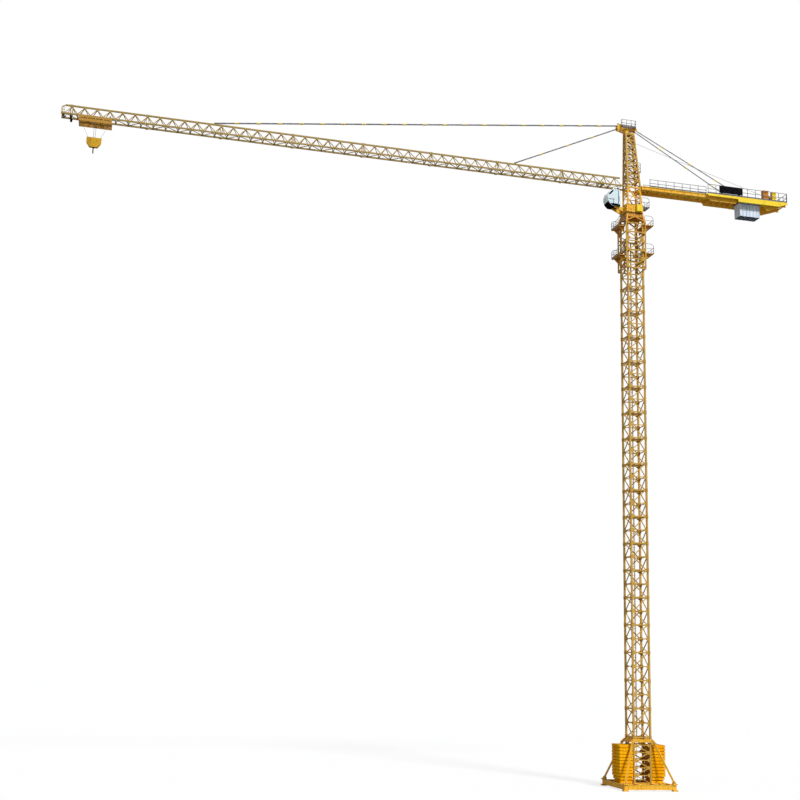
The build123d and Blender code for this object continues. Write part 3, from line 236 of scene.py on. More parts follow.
def block(low: Point, high: Point) -> Shape:
    """A box between two corners.

    Args:
        low: its one corner.
        high: the opposite one.

    Returns:
        The box.
    """
    low, high = np.minimum(low, high), np.maximum(low, high)
    size, middle = high - low, (low + high) / 2
    return drawn(rectangle(*size[:2]), (middle[0], middle[1], low[2]), Axis.Z, size[2])


def drawn(outline: np.ndarray, start: Point, axis: Axis, length: float) -> Shape:
    """An outline drawn out along an axis: each point is the start plus the outline's two numbers
    times the cross axes, and the far ring lies the length further on.

    Args:
        outline: the profile, as pairs of numbers.
        start: where the profile's origin lies.
        axis: the axis to draw along.
        length: how far.

    Returns:
        The closed shape.
    """
    rows = axis.rows
    near = np.asarray(start, float) + outline @ rows[:2]
    points = np.concatenate([near, near + rows[2] * length])
    return Shape(points, [ring_faces(2, len(outline)), end_caps(2, len(outline))])


def bars(starts: np.ndarray, ends: np.ndarray, profile: np.ndarray, level: np.ndarray | None = None) -> Shape:
    """Straight bars of one profile. Each bar's side axis is the cross product of the level
    vector and its own direction, and its up axis the cross product of direction and side.

    Args:
        starts: each bar's first end.
        ends: each bar's other end.
        profile: the section, as side and up values.
        level: the vector that the up axis leans towards; straight up if None.

    Returns:
        The bars as one shape.
    """
    starts, ends = np.atleast_2d(starts).astype(float), np.atleast_2d(ends).astype(float)
    along = unit(ends - starts)
    upright = np.abs(along[:, 2:3]) > 0.98
    guide = np.where(upright, np.array([[0.0, 1.0, 0.0]]), np.array([[0.0, 0.0, 1.0]]))
    guide = guide if level is None else np.broadcast_to(level, along.shape)
    side = unit(np.cross(guide, along))
    up = np.cross(along, side)
    section = profile[None, :, 0:1] * side[:, None] + profile[None, :, 1:2] * up[:, None]
    points = np.stack([starts[:, None] + section, ends[:, None] + section], axis=1)
    one = Shape(np.zeros((2 * len(profile), 3)), [ring_faces(2, len(profile)), end_caps(2, len(profile))])
    copies = one.placed(np.zeros((len(starts), 3)))
    return Shape(points.reshape(-1, 3), copies.faces)


def rods(starts: np.ndarray, ends: np.ndarray, radius: float, sides: int = 8) -> Shape:
    """Straight round rods between pairs of points."""
    return bars(starts, ends, circle(radius, sides))


def swept(path: np.ndarray, profile: np.ndarray, level: Point, closed: bool = False) -> Shape:
    """A profile carried along a path. At each point the tangent is the difference of its
    neighbours, the side axis is level cross tangent, and the up axis tangent cross side.

    Args:
        path: the points of the path.
        profile: the section, as side and up values.
        level: a vector that is nowhere in line with the path.
        closed: whether the path's end joins its start.

    Returns:
        The closed shape.
    """
    path = np.asarray(path, float)
    if closed:
        tangent = unit(np.roll(path, -1, axis=0) - np.roll(path, 1, axis=0))
    else:
        tangent = unit(np.gradient(path, axis=0))
    side = unit(np.cross(np.broadcast_to(level, path.shape), tangent))
    up = np.cross(tangent, side)
    points = path[:, None] + profile[None, :, 0:1] * side[:, None] + profile[None, :, 1:2] * up[:, None]
    faces = [ring_faces(len(path), len(profile), closed)]
    if not closed:
        faces.append(end_caps(len(path), len(profile)))
    return Shape(points.reshape(-1, 3), faces)


def lathed(profile: object, centre: Point, axis: Axis, steps: int = 32,
           closed: bool = False) -> Shape:
    """A profile turned round an axis: radius times cosine and sine on the cross axes, plus the
    height along the axis.

    Args:
        profile: pairs of radius and height, from one end to the other.
        centre: a point on the axis, at height 0.
        axis: the axis of the turning.
        steps: how many copies of the profile in a full turn.
        closed: whether the profile is a closed outline, as of a tyre.

    Returns:
        The closed shape.
    """
    rows, profile = axis.rows, np.asarray(profile, float)
    angles = np.arange(steps) * tau / steps
    spoke = np.cos(angles)[:, None] * rows[0] + np.sin(angles)[:, None] * rows[1]
    points = np.asarray(centre, float) + profile[:, None, 0:1] * spoke[None] + profile[:, None, 1:2] * rows[2]
    faces = [ring_faces(len(profile), steps, closed)]
    if not closed:
        faces.append(end_caps(len(profile), steps))
    return Shape(points.reshape(-1, 3), faces)


def turns_to(normals: np.ndarray) -> np.ndarray:
    """Matrices that turn the Z axis to each normal, with the side axis kept level.

    Args:
        normals: the directions to face.

    Returns:
        A 3 by 3 matrix for each.
    """
    normals = unit(np.atleast_2d(normals).astype(float))
    guide = np.where(np.abs(normals[:, 2:3]) > 0.98, np.array([[0.0, 1.0, 0.0]]), np.array([[0.0, 0.0, 1.0]]))
    side = unit(np.cross(guide, normals))
    return np.stack([side, np.cross(normals, side), normals], axis=-1)


def bolts(centres: np.ndarray, normals: np.ndarray, radius: float) -> Shape:
    """Six-sided bolt heads with a chamfered crown on a washer, each square to its normal.

    Args:
        centres: where each head's washer lies.
        normals: the way each head faces, one for all or one each.
        radius: the head's radius.

    Returns:
        The bolts as one shape.
    """
    centres = np.atleast_2d(centres)
    normals = np.broadcast_to(np.atleast_2d(normals), centres.shape)
    profile = np.array([(1.35, -0.3), (1.35, 0.2), (1.0, 0.2), (1.0, 0.9), (0.8, 1.1)]) * radius
    head = lathed(profile, (0, 0, 0), Axis.Z, 6)
    return head.placed(centres, turns_to(normals))


class Value:
    """A number from a shader socket, with Python's arithmetic as Math nodes."""

    def __init__(self, tree: "Tree", socket: bpy.types.NodeSocket) -> None:
        """Wraps one output socket of a tree's node."""
        self.tree, self.socket = tree, socket

    def _math(self, operation: str, *terms: object) -> "Value":
        """One Math node of an operation and its two or three terms."""
        return self.tree.value("ShaderNodeMath", {"operation": operation}, dict(enumerate(terms)))

    def __add__(self, other: object) -> "Value":
        """The sum."""
        return self._math("ADD", self, other)

    __radd__ = __add__

    def __sub__(self, other: object) -> "Value":
        """The difference."""
        return self._math("SUBTRACT", self, other)

    def __rsub__(self, other: object) -> "Value":
        """The difference, the other way round."""
        return self._math("SUBTRACT", other, self)

    def __mul__(self, other: object) -> "Value":
        """The product."""
        return self._math("MULTIPLY", self, other)

    def __truediv__(self, other: object) -> "Value":
        """The quotient."""
        return self._math("DIVIDE", self, other)

    @property
    def fraction(self) -> "Value":
        """What is left over past the whole number below."""
        return self._math("FRACT", self)

    def above(self, edge: float, width: float) -> "Value":
        """0 below the edge and 1 above it, with a slope of the given width."""
        return self.tree.ramped(self, [(edge - width / 2, 0.0), (edge + width / 2, 1.0)])


class Tree:
    """The nodes of a material or of the sky."""

    def __init__(self, owner: bpy.types.Material | bpy.types.World) -> None:
        """Empties the node tree.

        Args:
            owner: the material or sky that the tree belongs to.
        """
        owner.use_nodes = True
        self.owner, self.tree = owner, owner.node_tree
        self.tree.nodes.clear()

    def node(self, kind: str, settings: dict[str, object] | None = None,
             inputs: dict[str | int, object] | None = None) -> bpy.types.Node:
        """Adds a node.

        Args:
            kind: the node's type.
            settings: its properties, set first; stops are a colour ramp's.
            inputs: a value, socket or Value for each named or numbered input.

        Returns:
            The node.
        """
        node = self.tree.nodes.new(kind)
        for key, setting in (settings or {}).items():
            if key == "stops":
                ramp = node.color_ramp
                while len(ramp.elements) < len(setting):
                    ramp.elements.new(1.0)
                for element, (position, colour) in zip(ramp.elements, setting):
                    element.position, element.color = position, colour
            else:
                setattr(node, key, setting)
        self.fill(node, inputs or {})
        return node

    def fill(self, node: bpy.types.Node, inputs: dict[str | int, object]) -> None:
        """Links or sets a node's inputs.

        Args:
            node: the node.
            inputs: a value, socket or Value for each named or numbered input.
        """
        for key, given in inputs.items():
            given = given.socket if isinstance(given, Value) else given
            if isinstance(given, bpy.types.NodeSocket):
                self.tree.links.new(given, node.inputs[key])
            else:
                node.inputs[key].default_value = given

    def value(self, kind: str, settings: dict[str, object], inputs: dict[str | int, object],
              output: str | int = 0) -> Value:
        """Adds a node and wraps one of its outputs."""
        return Value(self, self.node(kind, settings, inputs).outputs[output])

    def ramped(self, value: Value, stops: list[Pair]) -> Value:
        """A value carried through a ramp of greys: pairs of position and level, in rising order."""
        grey = [(min(max(place, 0.0), 1.0), (level, level, level, 1.0)) for place, level in stops]
        return self.value("ShaderNodeValToRGB", {"stops": grey}, {0: value})

    def mixed(self, share: Value | float, first: object, second: object) -> bpy.types.NodeSocket:
        """Two colours mixed.

        Args:
            share: the share of the second.
            first: a colour or a socket.
            second: the other.

        Returns:
            The mixed colour's socket.
        """
        colours = [(*c, 1.0) if isinstance(c, tuple) and len(c) == 3 else c for c in (first, second)]
        mix = self.node("ShaderNodeMix", {"data_type": "RGBA"}, {0: share, 6: colours[0], 7: colours[1]})
        return mix.outputs[2]

    def blended(self, share: Value, first: bpy.types.Node, second: bpy.types.Node, output: str) -> None:
        """Ends the tree in two shaders mixed by a share of the second."""
        mix = self.node("ShaderNodeMixShader", {}, {0: share, 1: first.outputs[0], 2: second.outputs[0]})
        self.node(output, {}, {0: mix.outputs[0]})


class Graph(Tree):
    """The nodes of one finish, round one Principled shader."""

    def __init__(self, name: str) -> None:
        """Makes the material with its shader and output.

        Args:
            name: the finish's name.
        """
        super().__init__(bpy.data.materials.new(f"{name}_finish"))
        self.shader = self.node("ShaderNodeBsdfPrincipled")
        self.node("ShaderNodeOutputMaterial", {}, {"Surface": self.shader.outputs[0]})
        self.place = self.node("ShaderNodeTexCoord").outputs["Object"]

    def noise(self, scale: float, detail: float = 3.0, stretch: Point = (1, 1, 1)) -> Value:
        """A cloudy pattern about 0.5.

        Args:
            scale: cells in a metre.
            detail: how many finer layers it has.
            stretch: the factor on each axis before the scale.

        Returns:
            The pattern.
        """
        mapped = self.node("ShaderNodeMapping", {}, {"Vector": self.place, "Scale": stretch}).outputs[0]
        inputs = {"Vector": mapped, "Scale": scale, "Detail": detail, "Roughness": 0.55}
        return self.value("ShaderNodeTexNoise", {}, inputs)

    def cells(self, scale: float, output: str = "Distance") -> Value:
        """A pattern of random cells, so many a metre."""
        return self.value("ShaderNodeTexVoronoi", {"feature": "F1"}, {"Vector": self.place, "Scale": scale},
                          output)

    def bands(self, scale: float, direction: str, turn: float = 0.0) -> Value:
        """A wave of bands.

        Args:
            scale: bands in a metre.
            direction: the way they lie.
            turn: the angle that they are turned by about every axis.

        Returns:
            The pattern.
        """
        turned = self.node("ShaderNodeMapping", {}, {"Vector": self.place, "Rotation": (turn, turn, turn)})
        return self.value("ShaderNodeTexWave", {"bands_direction": direction},
                          {"Vector": turned.outputs[0], "Scale": scale}, "Fac")

    def facing_up(self) -> Value:
        """How much the surface faces the sky: the upright part of its normal."""
        normal = self.node("ShaderNodeNewGeometry").outputs["Normal"]
        return self.value("ShaderNodeSeparateXYZ", {}, {0: normal}, "Z")

    def under(self) -> Value:
        """1 where the surface faces the ground and 0 on its sides and top: the mask of the painted shade on
        undersides.
        """
        return (self.facing_up() * -1).above(0.7, 0.4)

    def seams(self, start: float, pitch: float, width: float) -> Value:
        """1 in level lines of the width at every pitch above the start, from the height's fraction: the mask
        of the painted shade in the joints between stacked slabs.
        """
        height = self.value("ShaderNodeSeparateXYZ", {}, {0: self.place}, "Z")
        return ((height - start) / pitch).fraction.above(1 - width / pitch, 0.04)

    def layered(self, ground: Colour, *layers: tuple[Value, Colour]) -> bpy.types.NodeSocket:
        """A ground colour with layers over it.

        Args:
            ground: the colour below.
            layers: each layer's share and its colour.

        Returns:
            The mixed colour.
        """
        for share, colour in layers:
            ground = self.mixed(share, ground, colour)
        return ground

    def finish(self, colour: object, rough: Value, bump: tuple[Value, float] | None = None,
               **others: object) -> bpy.types.Material:
        """Sets the shader's inputs.

        Args:
            colour: its base colour.
            rough: its roughness.
            bump: a height pattern and its depth in metres.
            others: further inputs by name, with _ for a space.

        Returns:
            The material.
        """
        inputs = {"Base Color": colour, "Roughness": rough}
        inputs |= {key.replace("_", " "): given for key, given in others.items()}
        if bump:
            height, depth = bump
            relief = self.node("ShaderNodeBump", {}, {"Height": height, "Distance": depth, "Strength": 1.0})
            inputs["Normal"] = relief.outputs[0]
        self.fill(self.shader, inputs)
        return self.owner


def linear(red: int, green: int, blue: int) -> Colour:
    """A colour in the linear values that shaders take: a screen's level, plus 0.055 and over 1.055,
    to the power 2.4, or over 12.92 where it is dark.

    Args:
        red: the red on a screen, from 0 to 255.
        green: the green.
        blue: the blue.

    Returns:
        The colour.
    """
    levels = np.array([red, green, blue]) / 255
    light = np.where(levels > 0.04045, ((levels + 0.055) / 1.055) ** 2.4, levels / 12.92)
    return tuple(light.tolist())


def darker(colour: Colour, share: float) -> Colour:
    """A colour with only a share of its light."""
    return tuple(level * share for level in colour)


@dataclass(frozen=True)
class Coat:
    """What all finishes have: a name, a colour, a second colour in patches and a material slot."""

    name: str
    colour: Colour
    patch: Colour
    slot: str = "yellow_paint"


@dataclass(frozen=True)
class Paint(Coat):
    """Brushed outdoor paint on steel: faded in clouds, scratched, chipped, dusty on top, with painted shade
    on the faces that look down.
    """

    primer: Colour = linear(104, 62, 34)
    dust: Colour = linear(214, 196, 150)
    roughness: float = 0.4
    chips: float = 0.72

    def build(self) -> bpy.types.Material:
        """The material: clouds of fading, runs of dirt, dust on top, painted shade on the faces that look
        down, chips to the primer and a fine peel.
        """
        graph = Graph(self.name)
        cloud, mottle = graph.noise(2.2, 4.0).above(0.52, 0.5), graph.noise(38.0)
        runs = graph.noise(26.0, 3.0, (1.0, 1.0, 0.07)).above(0.62, 0.2)
        chip = graph.noise(190.0, 2.0).above(self.chips, 0.03) * graph.noise(9.0, 1.0).above(0.5, 0.2)
        dust = graph.facing_up().above(0.75, 0.3) * graph.noise(14.0)
        # graph.under() darkens the faces that look down to 30 %: painted shade on the undersides.
        colour = graph.layered(
            self.colour, (cloud * 0.75, self.patch),
            (mottle.above(0.5, 0.5) * 0.3, darker(self.colour, 0.72)), (runs * 0.4, darker(self.colour, 0.5)),
            (dust * 0.35, self.dust), (graph.under() * 0.45, darker(self.colour, 0.3)), (chip, self.primer))
        peel = graph.noise(620.0, 2.0) - chip * 0.7 + mottle * 0.4
        rough = mottle * 0.2 + self.roughness + chip * 0.3 + dust * 0.2
        return graph.finish(colour, rough, (peel, 0.0003), Specular_IOR_Level=0.14)


@dataclass(frozen=True)
class BareMetal(Coat):
    """Galvanised, drawn or cast metal: spangled or streaked, with duller stains."""

    slot: str = "grey_steel"
    roughness: float = 0.4
    metallic: float = 0.8
    spangle: float = 160.0

    def build(self) -> bpy.types.Material:
        """The material: crystal cells of two tones, clouds of stain and a faint grain."""
        graph = Graph(self.name)
        crystal, cloud = graph.cells(self.spangle, "Color"), graph.noise(18.0, 4.0).above(0.55, 0.3)
        colour = graph.layered(self.colour, (crystal, darker(self.colour, 1.25)), (cloud * 0.6, self.patch))
        grain = graph.noise(900.0, 2.0) + crystal * 0.4
        return graph.finish(colour, crystal * 0.16 + self.roughness + cloud * 0.2, (grain, 0.00015),
                            Metallic=(1 - cloud * 0.5) * self.metallic)


@dataclass(frozen=True)
class CastStone(Coat):
    """Cast and painted concrete: pinholes, worn clouds, runs of dirt, painted shade in the joints between
    slabs, near-black painted shade on the undersides and a sandy face.
    """

    slot: str = "weight_concrete"
    seam_shade: Point | None = None
    bare: Colour = linear(150, 146, 138)

    def build(self) -> bpy.types.Material:
        """The material: clouds of wear, pinholes from cells, runs, near-black painted shade on the
        undersides, painted shade along the slab joints where set, and a sand bump.
        """
        graph = Graph(self.name)
        cloud, flaked = graph.noise(7.0, 4.0).above(0.54, 0.3), graph.noise(60.0, 4.0).above(0.7, 0.04)
        runs = graph.noise(30.0, 3.0, (1.0, 1.0, 0.1)).above(0.58, 0.25)
        holes = 1 - graph.cells(150.0).above(0.16, 0.1)
        # The under() layer turns the faces that look down near black: painted shade on the undersides.
        layers = [(cloud * 0.8, self.patch), (runs * 0.5, darker(self.colour, 0.55)),
                  (flaked * 0.8, self.bare), (holes * 0.7, darker(self.colour, 0.35)),
                  (graph.under() * 0.96, darker(self.colour, 0.02))]
        # Lines of painted shade in the joints between the stacked slabs.
        if self.seam_shade:
            layers.append((graph.seams(*self.seam_shade) * 0.45, darker(self.colour, 0.3)))
        sand = graph.noise(420.0) * 0.5 - holes - flaked * 0.4
        return graph.finish(graph.layered(self.colour, *layers), 0.72 + cloud * 0.15 + runs * 0.1,
                            (sand, 0.0007), Specular_IOR_Level=0.04)


@dataclass(frozen=True)
class Lacquer(Coat):
    """Smooth body paint on the cab: glossy, faintly hazed, with runs of rain dirt."""

    slot: str = "cab_paint"

    def build(self) -> bpy.types.Material:
        """The material: haze clouds and thin runs under a clear coat."""
        graph = Graph(self.name)
        cloud = graph.noise(9.0).above(0.52, 0.5)
        runs = graph.noise(70.0, 3.0, (1.0, 1.0, 0.05)).above(0.6, 0.2)
        colour = graph.layered(self.colour, (cloud * 0.7, self.patch), (runs * 0.3, darker(self.colour, 0.6)))
        return graph.finish(colour, 0.26 + cloud * 0.14 + runs * 0.2, (graph.noise(24.0, 2.0), 0.0006),
                            Coat_Weight=0.6 - runs * 0.4, Coat_Roughness=0.06)


@dataclass(frozen=True)
class Glazing(Coat):
    """Tinted window glass with a film of dust."""

    slot: str = "cab_glass"
    clear: float = 0.08

    def build(self) -> bpy.types.Material:
        """The material: a little clear, glossy, dusty in clouds."""
        graph = Graph(self.name)
        dust = graph.noise(16.0, 4.0).above(0.55, 0.35)
        return graph.finish(graph.mixed(dust * 0.35, self.colour, self.patch), 0.05 + dust * 0.25, IOR=1.5,
                            Alpha=1 - (1 - dust * 0.5) * self.clear, Coat_Weight=0.5, Coat_Roughness=0.03)


@dataclass(frozen=True)
class Rubber(Coat):
    """Black rubber or a dull black board: greyed, finely grained."""

    slot: str = "black_rubber"
    roughness: float = 0.7

    def build(self) -> bpy.types.Material:
        """The material: grey bloom in clouds over a grained face."""
        graph = Graph(self.name)
        bloom = graph.noise(34.0, 4.0).above(0.55, 0.3)
        return graph.finish(graph.mixed(bloom * 0.6, self.colour, self.patch), self.roughness + bloom * 0.2,
                            (graph.noise(700.0, 2.0), 0.0002), Specular_IOR_Level=0.0)


@dataclass(frozen=True)
class WireRope(Coat):
    """Laid steel rope: slanting strands from a wave across and along it, greased in patches."""

    slot: str = "rope_steel"
    lay: float = 130.0

    def build(self) -> bpy.types.Material:
        """The material: slanting bands for the strands and clouds of grease."""
        graph = Graph(self.name)
        strand, grease = graph.bands(self.lay, "DIAGONAL", 0.6), graph.noise(12.0).above(0.5, 0.4)
        colour = graph.layered(darker(self.colour, 0.4), (strand, self.colour), (grease * 0.5, self.patch))
        return graph.finish(colour, 0.38 + grease * 0.25, (strand, 0.0006), Metallic=0.75 - grease * 0.3)


@dataclass(frozen=True)
class Lens(Coat):
    """Coloured lamp glass with moulded rings."""

    slot: str = "cab_glass"

    def build(self) -> bpy.types.Material:
        """The material: glossy coloured glass, ringed by a fine wave in its height."""
        graph = Graph(self.name)
        ring = graph.bands(220.0, "Z")
        return graph.finish(graph.mixed(ring * 0.4, self.colour, self.patch), 0.12 + ring * 0.08,
                            (ring, 0.0004), Coat_Weight=0.6)


class Finish(Enum):
    """Every finish on the crane."""

    MAST = Paint("mast_gold", linear(196, 152, 58), linear(214, 176, 92))
    YELLOW = Paint("slewing_yellow", linear(238, 176, 42), linear(250, 202, 78))
    AMBER = Paint("support_amber", linear(214, 148, 44), linear(230, 170, 72))
    OLIVE = Paint("jib_olive", linear(162, 134, 64), linear(188, 160, 98))
    ORANGE = Paint("winch_orange", linear(206, 130, 40), linear(224, 156, 66), "winch_orange")
    TROLLEY = Paint("trolley_ochre", linear(178, 132, 50), linear(198, 154, 76), "trolley_paint")
    BLOCK = Paint("block_yellow", linear(200, 150, 22), linear(214, 172, 50))
    BRIGHT = Paint("fascia_yellow", linear(255, 218, 40), linear(255, 230, 86))
    # The three numbers after the patch place the lines of painted shade in the joints between the stacked
    # ballast slabs: start, pitch and width.
    BALLAST = CastStone("ballast_yellow", linear(255, 170, 4), linear(255, 192, 20), "ballast_paint",
                        (0.0603, 0.0310833, 0.006))
    WEIGHT = CastStone("weight_pale", linear(218, 233, 250), linear(230, 240, 250))
    GALVANISED = BareMetal("galvanised_steel", linear(84, 85, 92), linear(66, 65, 66))
    ZINC = BareMetal("zinc_bolts", linear(150, 150, 148), linear(92, 84, 74), "grey_steel", 0.42, 0.85, 400.0)
    RING = BareMetal("ring_steel", linear(120, 112, 100), linear(74, 58, 42), "grey_steel", 0.45, 0.7, 90.0)
    HOOK = BareMetal("forged_hook", linear(52, 52, 54), linear(84, 64, 48), "hook_dark", 0.5, 0.7, 220.0)
    CAB = Lacquer("cab_blue_white", linear(214, 232, 240), linear(200, 219, 229))
    GLASS = Glazing("cab_glass", linear(222, 242, 250), linear(205, 208, 200))
    BLACK = Rubber("black_rubber", linear(9, 9, 11), linear(28, 28, 29))
    BOARD = Rubber("board_black", linear(16, 16, 21), linear(40, 40, 46), "board_black", 0.6)
    SEAT = Rubber("seat_black", linear(36, 38, 44), linear(60, 62, 66), "black_rubber", 0.8)
    ROPE = WireRope("wire_rope", linear(86, 86, 88), linear(42, 40, 38))
    RED_LAMP = Lens("red_lamp", linear(196, 24, 16), darker(linear(196, 24, 16), 0.5))

    @property
    def material(self) -> bpy.types.Material:
        """The finish's material, built once."""
        made = bpy.data.materials.get(f"{self.value.name}_finish")
        return made or self.value.build()


def put(name: str, shape: Shape, body: str | None, finish: Finish, sharp: float = 35.0) -> bpy.types.Object:
    """Puts a shape into the scene as one piece that rides on a body.

    Args:
        name: the piece's name.
        shape: its points and faces.
        body: the body that carries it, or None for a piece on no body.
        finish: what it is finished with.
        sharp: the angle in degrees past which an edge stays sharp.

    Returns:
        The new object, at the origin.
    """
    mesh = bpy.data.meshes.new(name)
    sizes = np.concatenate([np.full(len(face), face.shape[1]) for face in shape.faces])
    corners = np.concatenate([face.ravel() for face in shape.faces])
    mesh.vertices.add(len(shape.points))
    mesh.vertices.foreach_set("co", shape.points.astype(np.float32).ravel())
    mesh.loops.add(len(corners))
    mesh.loops.foreach_set("vertex_index", corners.astype(np.int32))
    mesh.polygons.add(len(sizes))
    mesh.polygons.foreach_set("loop_start", (np.cumsum(sizes) - sizes).astype(np.int32))
    mesh.update(calc_edges=True)
    solid = bmesh.new()
    solid.from_mesh(mesh)
    bmesh.ops.recalc_face_normals(solid, faces=solid.faces)
    solid.to_mesh(mesh)
    solid.free()
    mesh.shade_smooth()
    mesh.set_sharp_from_angle(angle=radians(sharp))
    piece = bpy.data.objects.new(name, mesh)
    bpy.context.scene.collection.objects.link(piece)
    mesh.materials.append(finish.material)
    if body:
        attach(piece, body)
    log.info("%s: %d points", name, len(mesh.vertices))
    return piece


def dress(node: str, finish: Finish) -> None:
    """Gives a CAD node its finish.

    Args:
        node: the node's name.
        finish: what it is finished with.
    """
    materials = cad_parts[node].data.materials
    materials.clear()
    materials.append(finish.material)


def rail_run(start: Point, end: Point, height: float, posts: int, bar: float) -> Shape:
    """A straight tubular railing: level tubes at its middle and top, a toe board and upright posts.

    Args:
        start: the foot of its first end.
        end: the foot of its other end.
        height: how high its top stands.
        posts: how many posts it has.
        bar: the tubes' diameter.

    Returns:
        The railing.
    """
    start, end = np.asarray(start, float), np.asarray(end, float)
    step, top = unit(end - start) * bar / 2, height - bar / 2
    feet = start + step + (end - start - 2 * step) * np.linspace(0, 1, posts)[:, None]
    levels, toe = stacked(0, 0, (height / 2, top)), (0, 0, 1.6 * bar)
    return joined(rods(start + levels, end + levels, bar / 2), rods(feet, feet + (0, 0, top), bar / 2),
                  bars(start + toe, end + toe, rectangle(bar / 4, 2.8 * bar)))


@dataclass
class RoundRailing:
    """A railing round a deck's three free sides, with a tube bent over each outer corner."""

    face: float
    outer: float
    half: float
    level: float
    height: float
    bend: float
    posts: int
    bar: float = 0.005

    def shape(self) -> Shape:
        """A hoop with a middle tube at each end, and a straight run along the outer edge."""
        radius, side = self.bar / 2, 1 if self.outer > self.face else -1
        ends = (self.face + side * radius, self.outer - side * radius)
        near, far = (np.array([x, 0, self.level]) for x in ends)
        top = np.array([0, 0, self.height - radius])
        path = bent([near, near + top, far + top, far], (2 * self.bar, self.bend), 7)
        tubes = [swept(path, circle(radius, 8), (0, -side, 0)), rods(near + top / 2, far + top / 2, radius)]
        end = far + (0, self.half, 0)
        run = rail_run(end * (1, -1, 1), end, self.height - self.bend, self.posts, self.bar)
        rows = stacked(0, (radius - self.half, self.half - radius), 0)
        return joined(run, joined(*tubes).placed(rows))


def grate(low: Point, high: Point, pitch: float = 0.006) -> Shape:
    """An open grating that fills a flat box: bearing bars across its shorter side at the pitch,
    and rods the other way at four times the pitch.

    Args:
        low: the box's lowest corner.
        high: its highest corner.
        pitch: the distance between bearing bars.

    Returns:
        The grating.
    """
    low, high = np.minimum(low, high).astype(float), np.maximum(low, high).astype(float)
    size, layers = high - low, []
    short = int(size[0] > size[1])
    for across, step, width in ((short, pitch, 0.0009), (1 - short, 4 * pitch, 0.0012)):
        along = 1 - across
        places = np.linspace(low[along] + width, high[along] - width, round(size[along] / step) + 1)
        starts = np.tile((low + high) / 2, (len(places), 1))
        starts[:, along] = places
        ends = starts.copy()
        starts[:, across], ends[:, across] = low[across], high[across]
        layers.append(bars(starts, ends, rectangle(width, size[2])))
    return joined(*layers)


def open_deck(low: Point, high: Point) -> Shape:
    """A deck of grating inside a frame of four edge bars.

    Args:
        low: the deck's lowest corner.
        high: its highest corner.

    Returns:
        The deck.
    """
    (x0, y0, z0), (x1, y1, z1) = np.minimum(low, high), np.maximum(low, high)
    z, edge = (z0 + z1) / 2, 0.0015
    starts = [(x0, y0 + edge, z), (x0, y1 - edge, z), (x0 + edge, y0, z), (x1 - edge, y0, z)]
    ends = [(x1, y0 + edge, z), (x1, y1 - edge, z), (x0 + edge, y1, z), (x1 - edge, y1, z)]
    return joined(bars(starts, ends, rectangle(2 * edge, z1 - z0)),
                  grate((x0, y0, z1 - 0.003), (x1, y1, z1 - 0.0005)))


def sheave(centres: object, radius: float, width: float, pin: float, reach: float) -> Shape:
    """Rope sheaves on their pins, with axes along Y: a grooved rim, a thin web and a hub.

    Args:
        centres: where the sheaves stand.
        radius: the rim's radius.
        width: the rim's width.
        pin: the pin's radius.
        reach: half the pin's length.

    Returns:
        The sheaves and pins.
    """
    half, hub = width / 2, radius * 0.36
    side = np.array([(pin, reach), (pin, half * 1.15), (hub, half * 1.15), (radius * 0.38, half * 0.3),
                     (radius * 0.76, half * 0.3), (radius * 0.80, half * 0.9), (radius * 0.98, half),
                     (radius, half * 0.8), (radius * 0.86, half * 0.2)])
    profile = np.concatenate([side * (1, -1), side[::-1]])
    return lathed(profile, (0, 0, 0), Axis.Y, 28).placed(centres)


def trapezoid(base: float, crown: float, height: float) -> np.ndarray:
    """A gusset's outline: its base on the first axis, narrowing to its crown."""
    return np.array([(-base / 2, 0), (base / 2, 0), (crown / 2, height), (-crown / 2, height)])


def eyes(centres: object, size: float = 0.008) -> Shape:
    """Lifting eyes: a rod bent up, over and down in the plane square to X, at each centre."""
    corners = np.array([(0, -1, 0), (0, -1, 1.7), (0, 1, 1.7), (0, 1, 0)]) * size
    return swept(bent(corners, size * 0.9, 6), circle(size / 5, 8), (1, 0, 0)).placed(centres)


def ladder_cage(place: Pair, reach: float, levels: np.ndarray) -> Shape:
    """A ladder's safety hoops: half ellipses that stand out along Y, tied by three straps.

    Args:
        place: the ladder's middle, as x and y.
        reach: how far the hoops stand out, with its sign.
        levels: the hoops' heights, in rising order.

    Returns:
        The hoops and straps.
    """
    angles = np.linspace(0, pi, 9)
    line = stacked(place[0] + 0.024 * np.cos(angles), place[1] + reach * np.sin(angles), 0)
    hoops = swept(line, rectangle(0.0012, 0.0040), (0, 0, 1)).raised(levels)
    feet = line[2:7:2] + (0, 0, levels[0])
    return joined(hoops, bars(feet, feet + (0, 0, levels[-1] - levels[0]), rectangle(0.0030, 0.0012)))


class Assembly:
    """A sub-assembly whose pieces ride on one body."""

    body = "slewing_part"

    def pieces(self) -> dict[str, tuple]:
        """Each piece's shape, its finish and, where it stands for one, its CAD node, by its name."""
        return {}

    def build(self) -> None:
        """Puts the pieces into the scene."""
        for name, (shape, finish, *nodes) in self.pieces().items():
            piece = put(name, shape, self.body, finish)
            for node in nodes:
                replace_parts(piece, node)


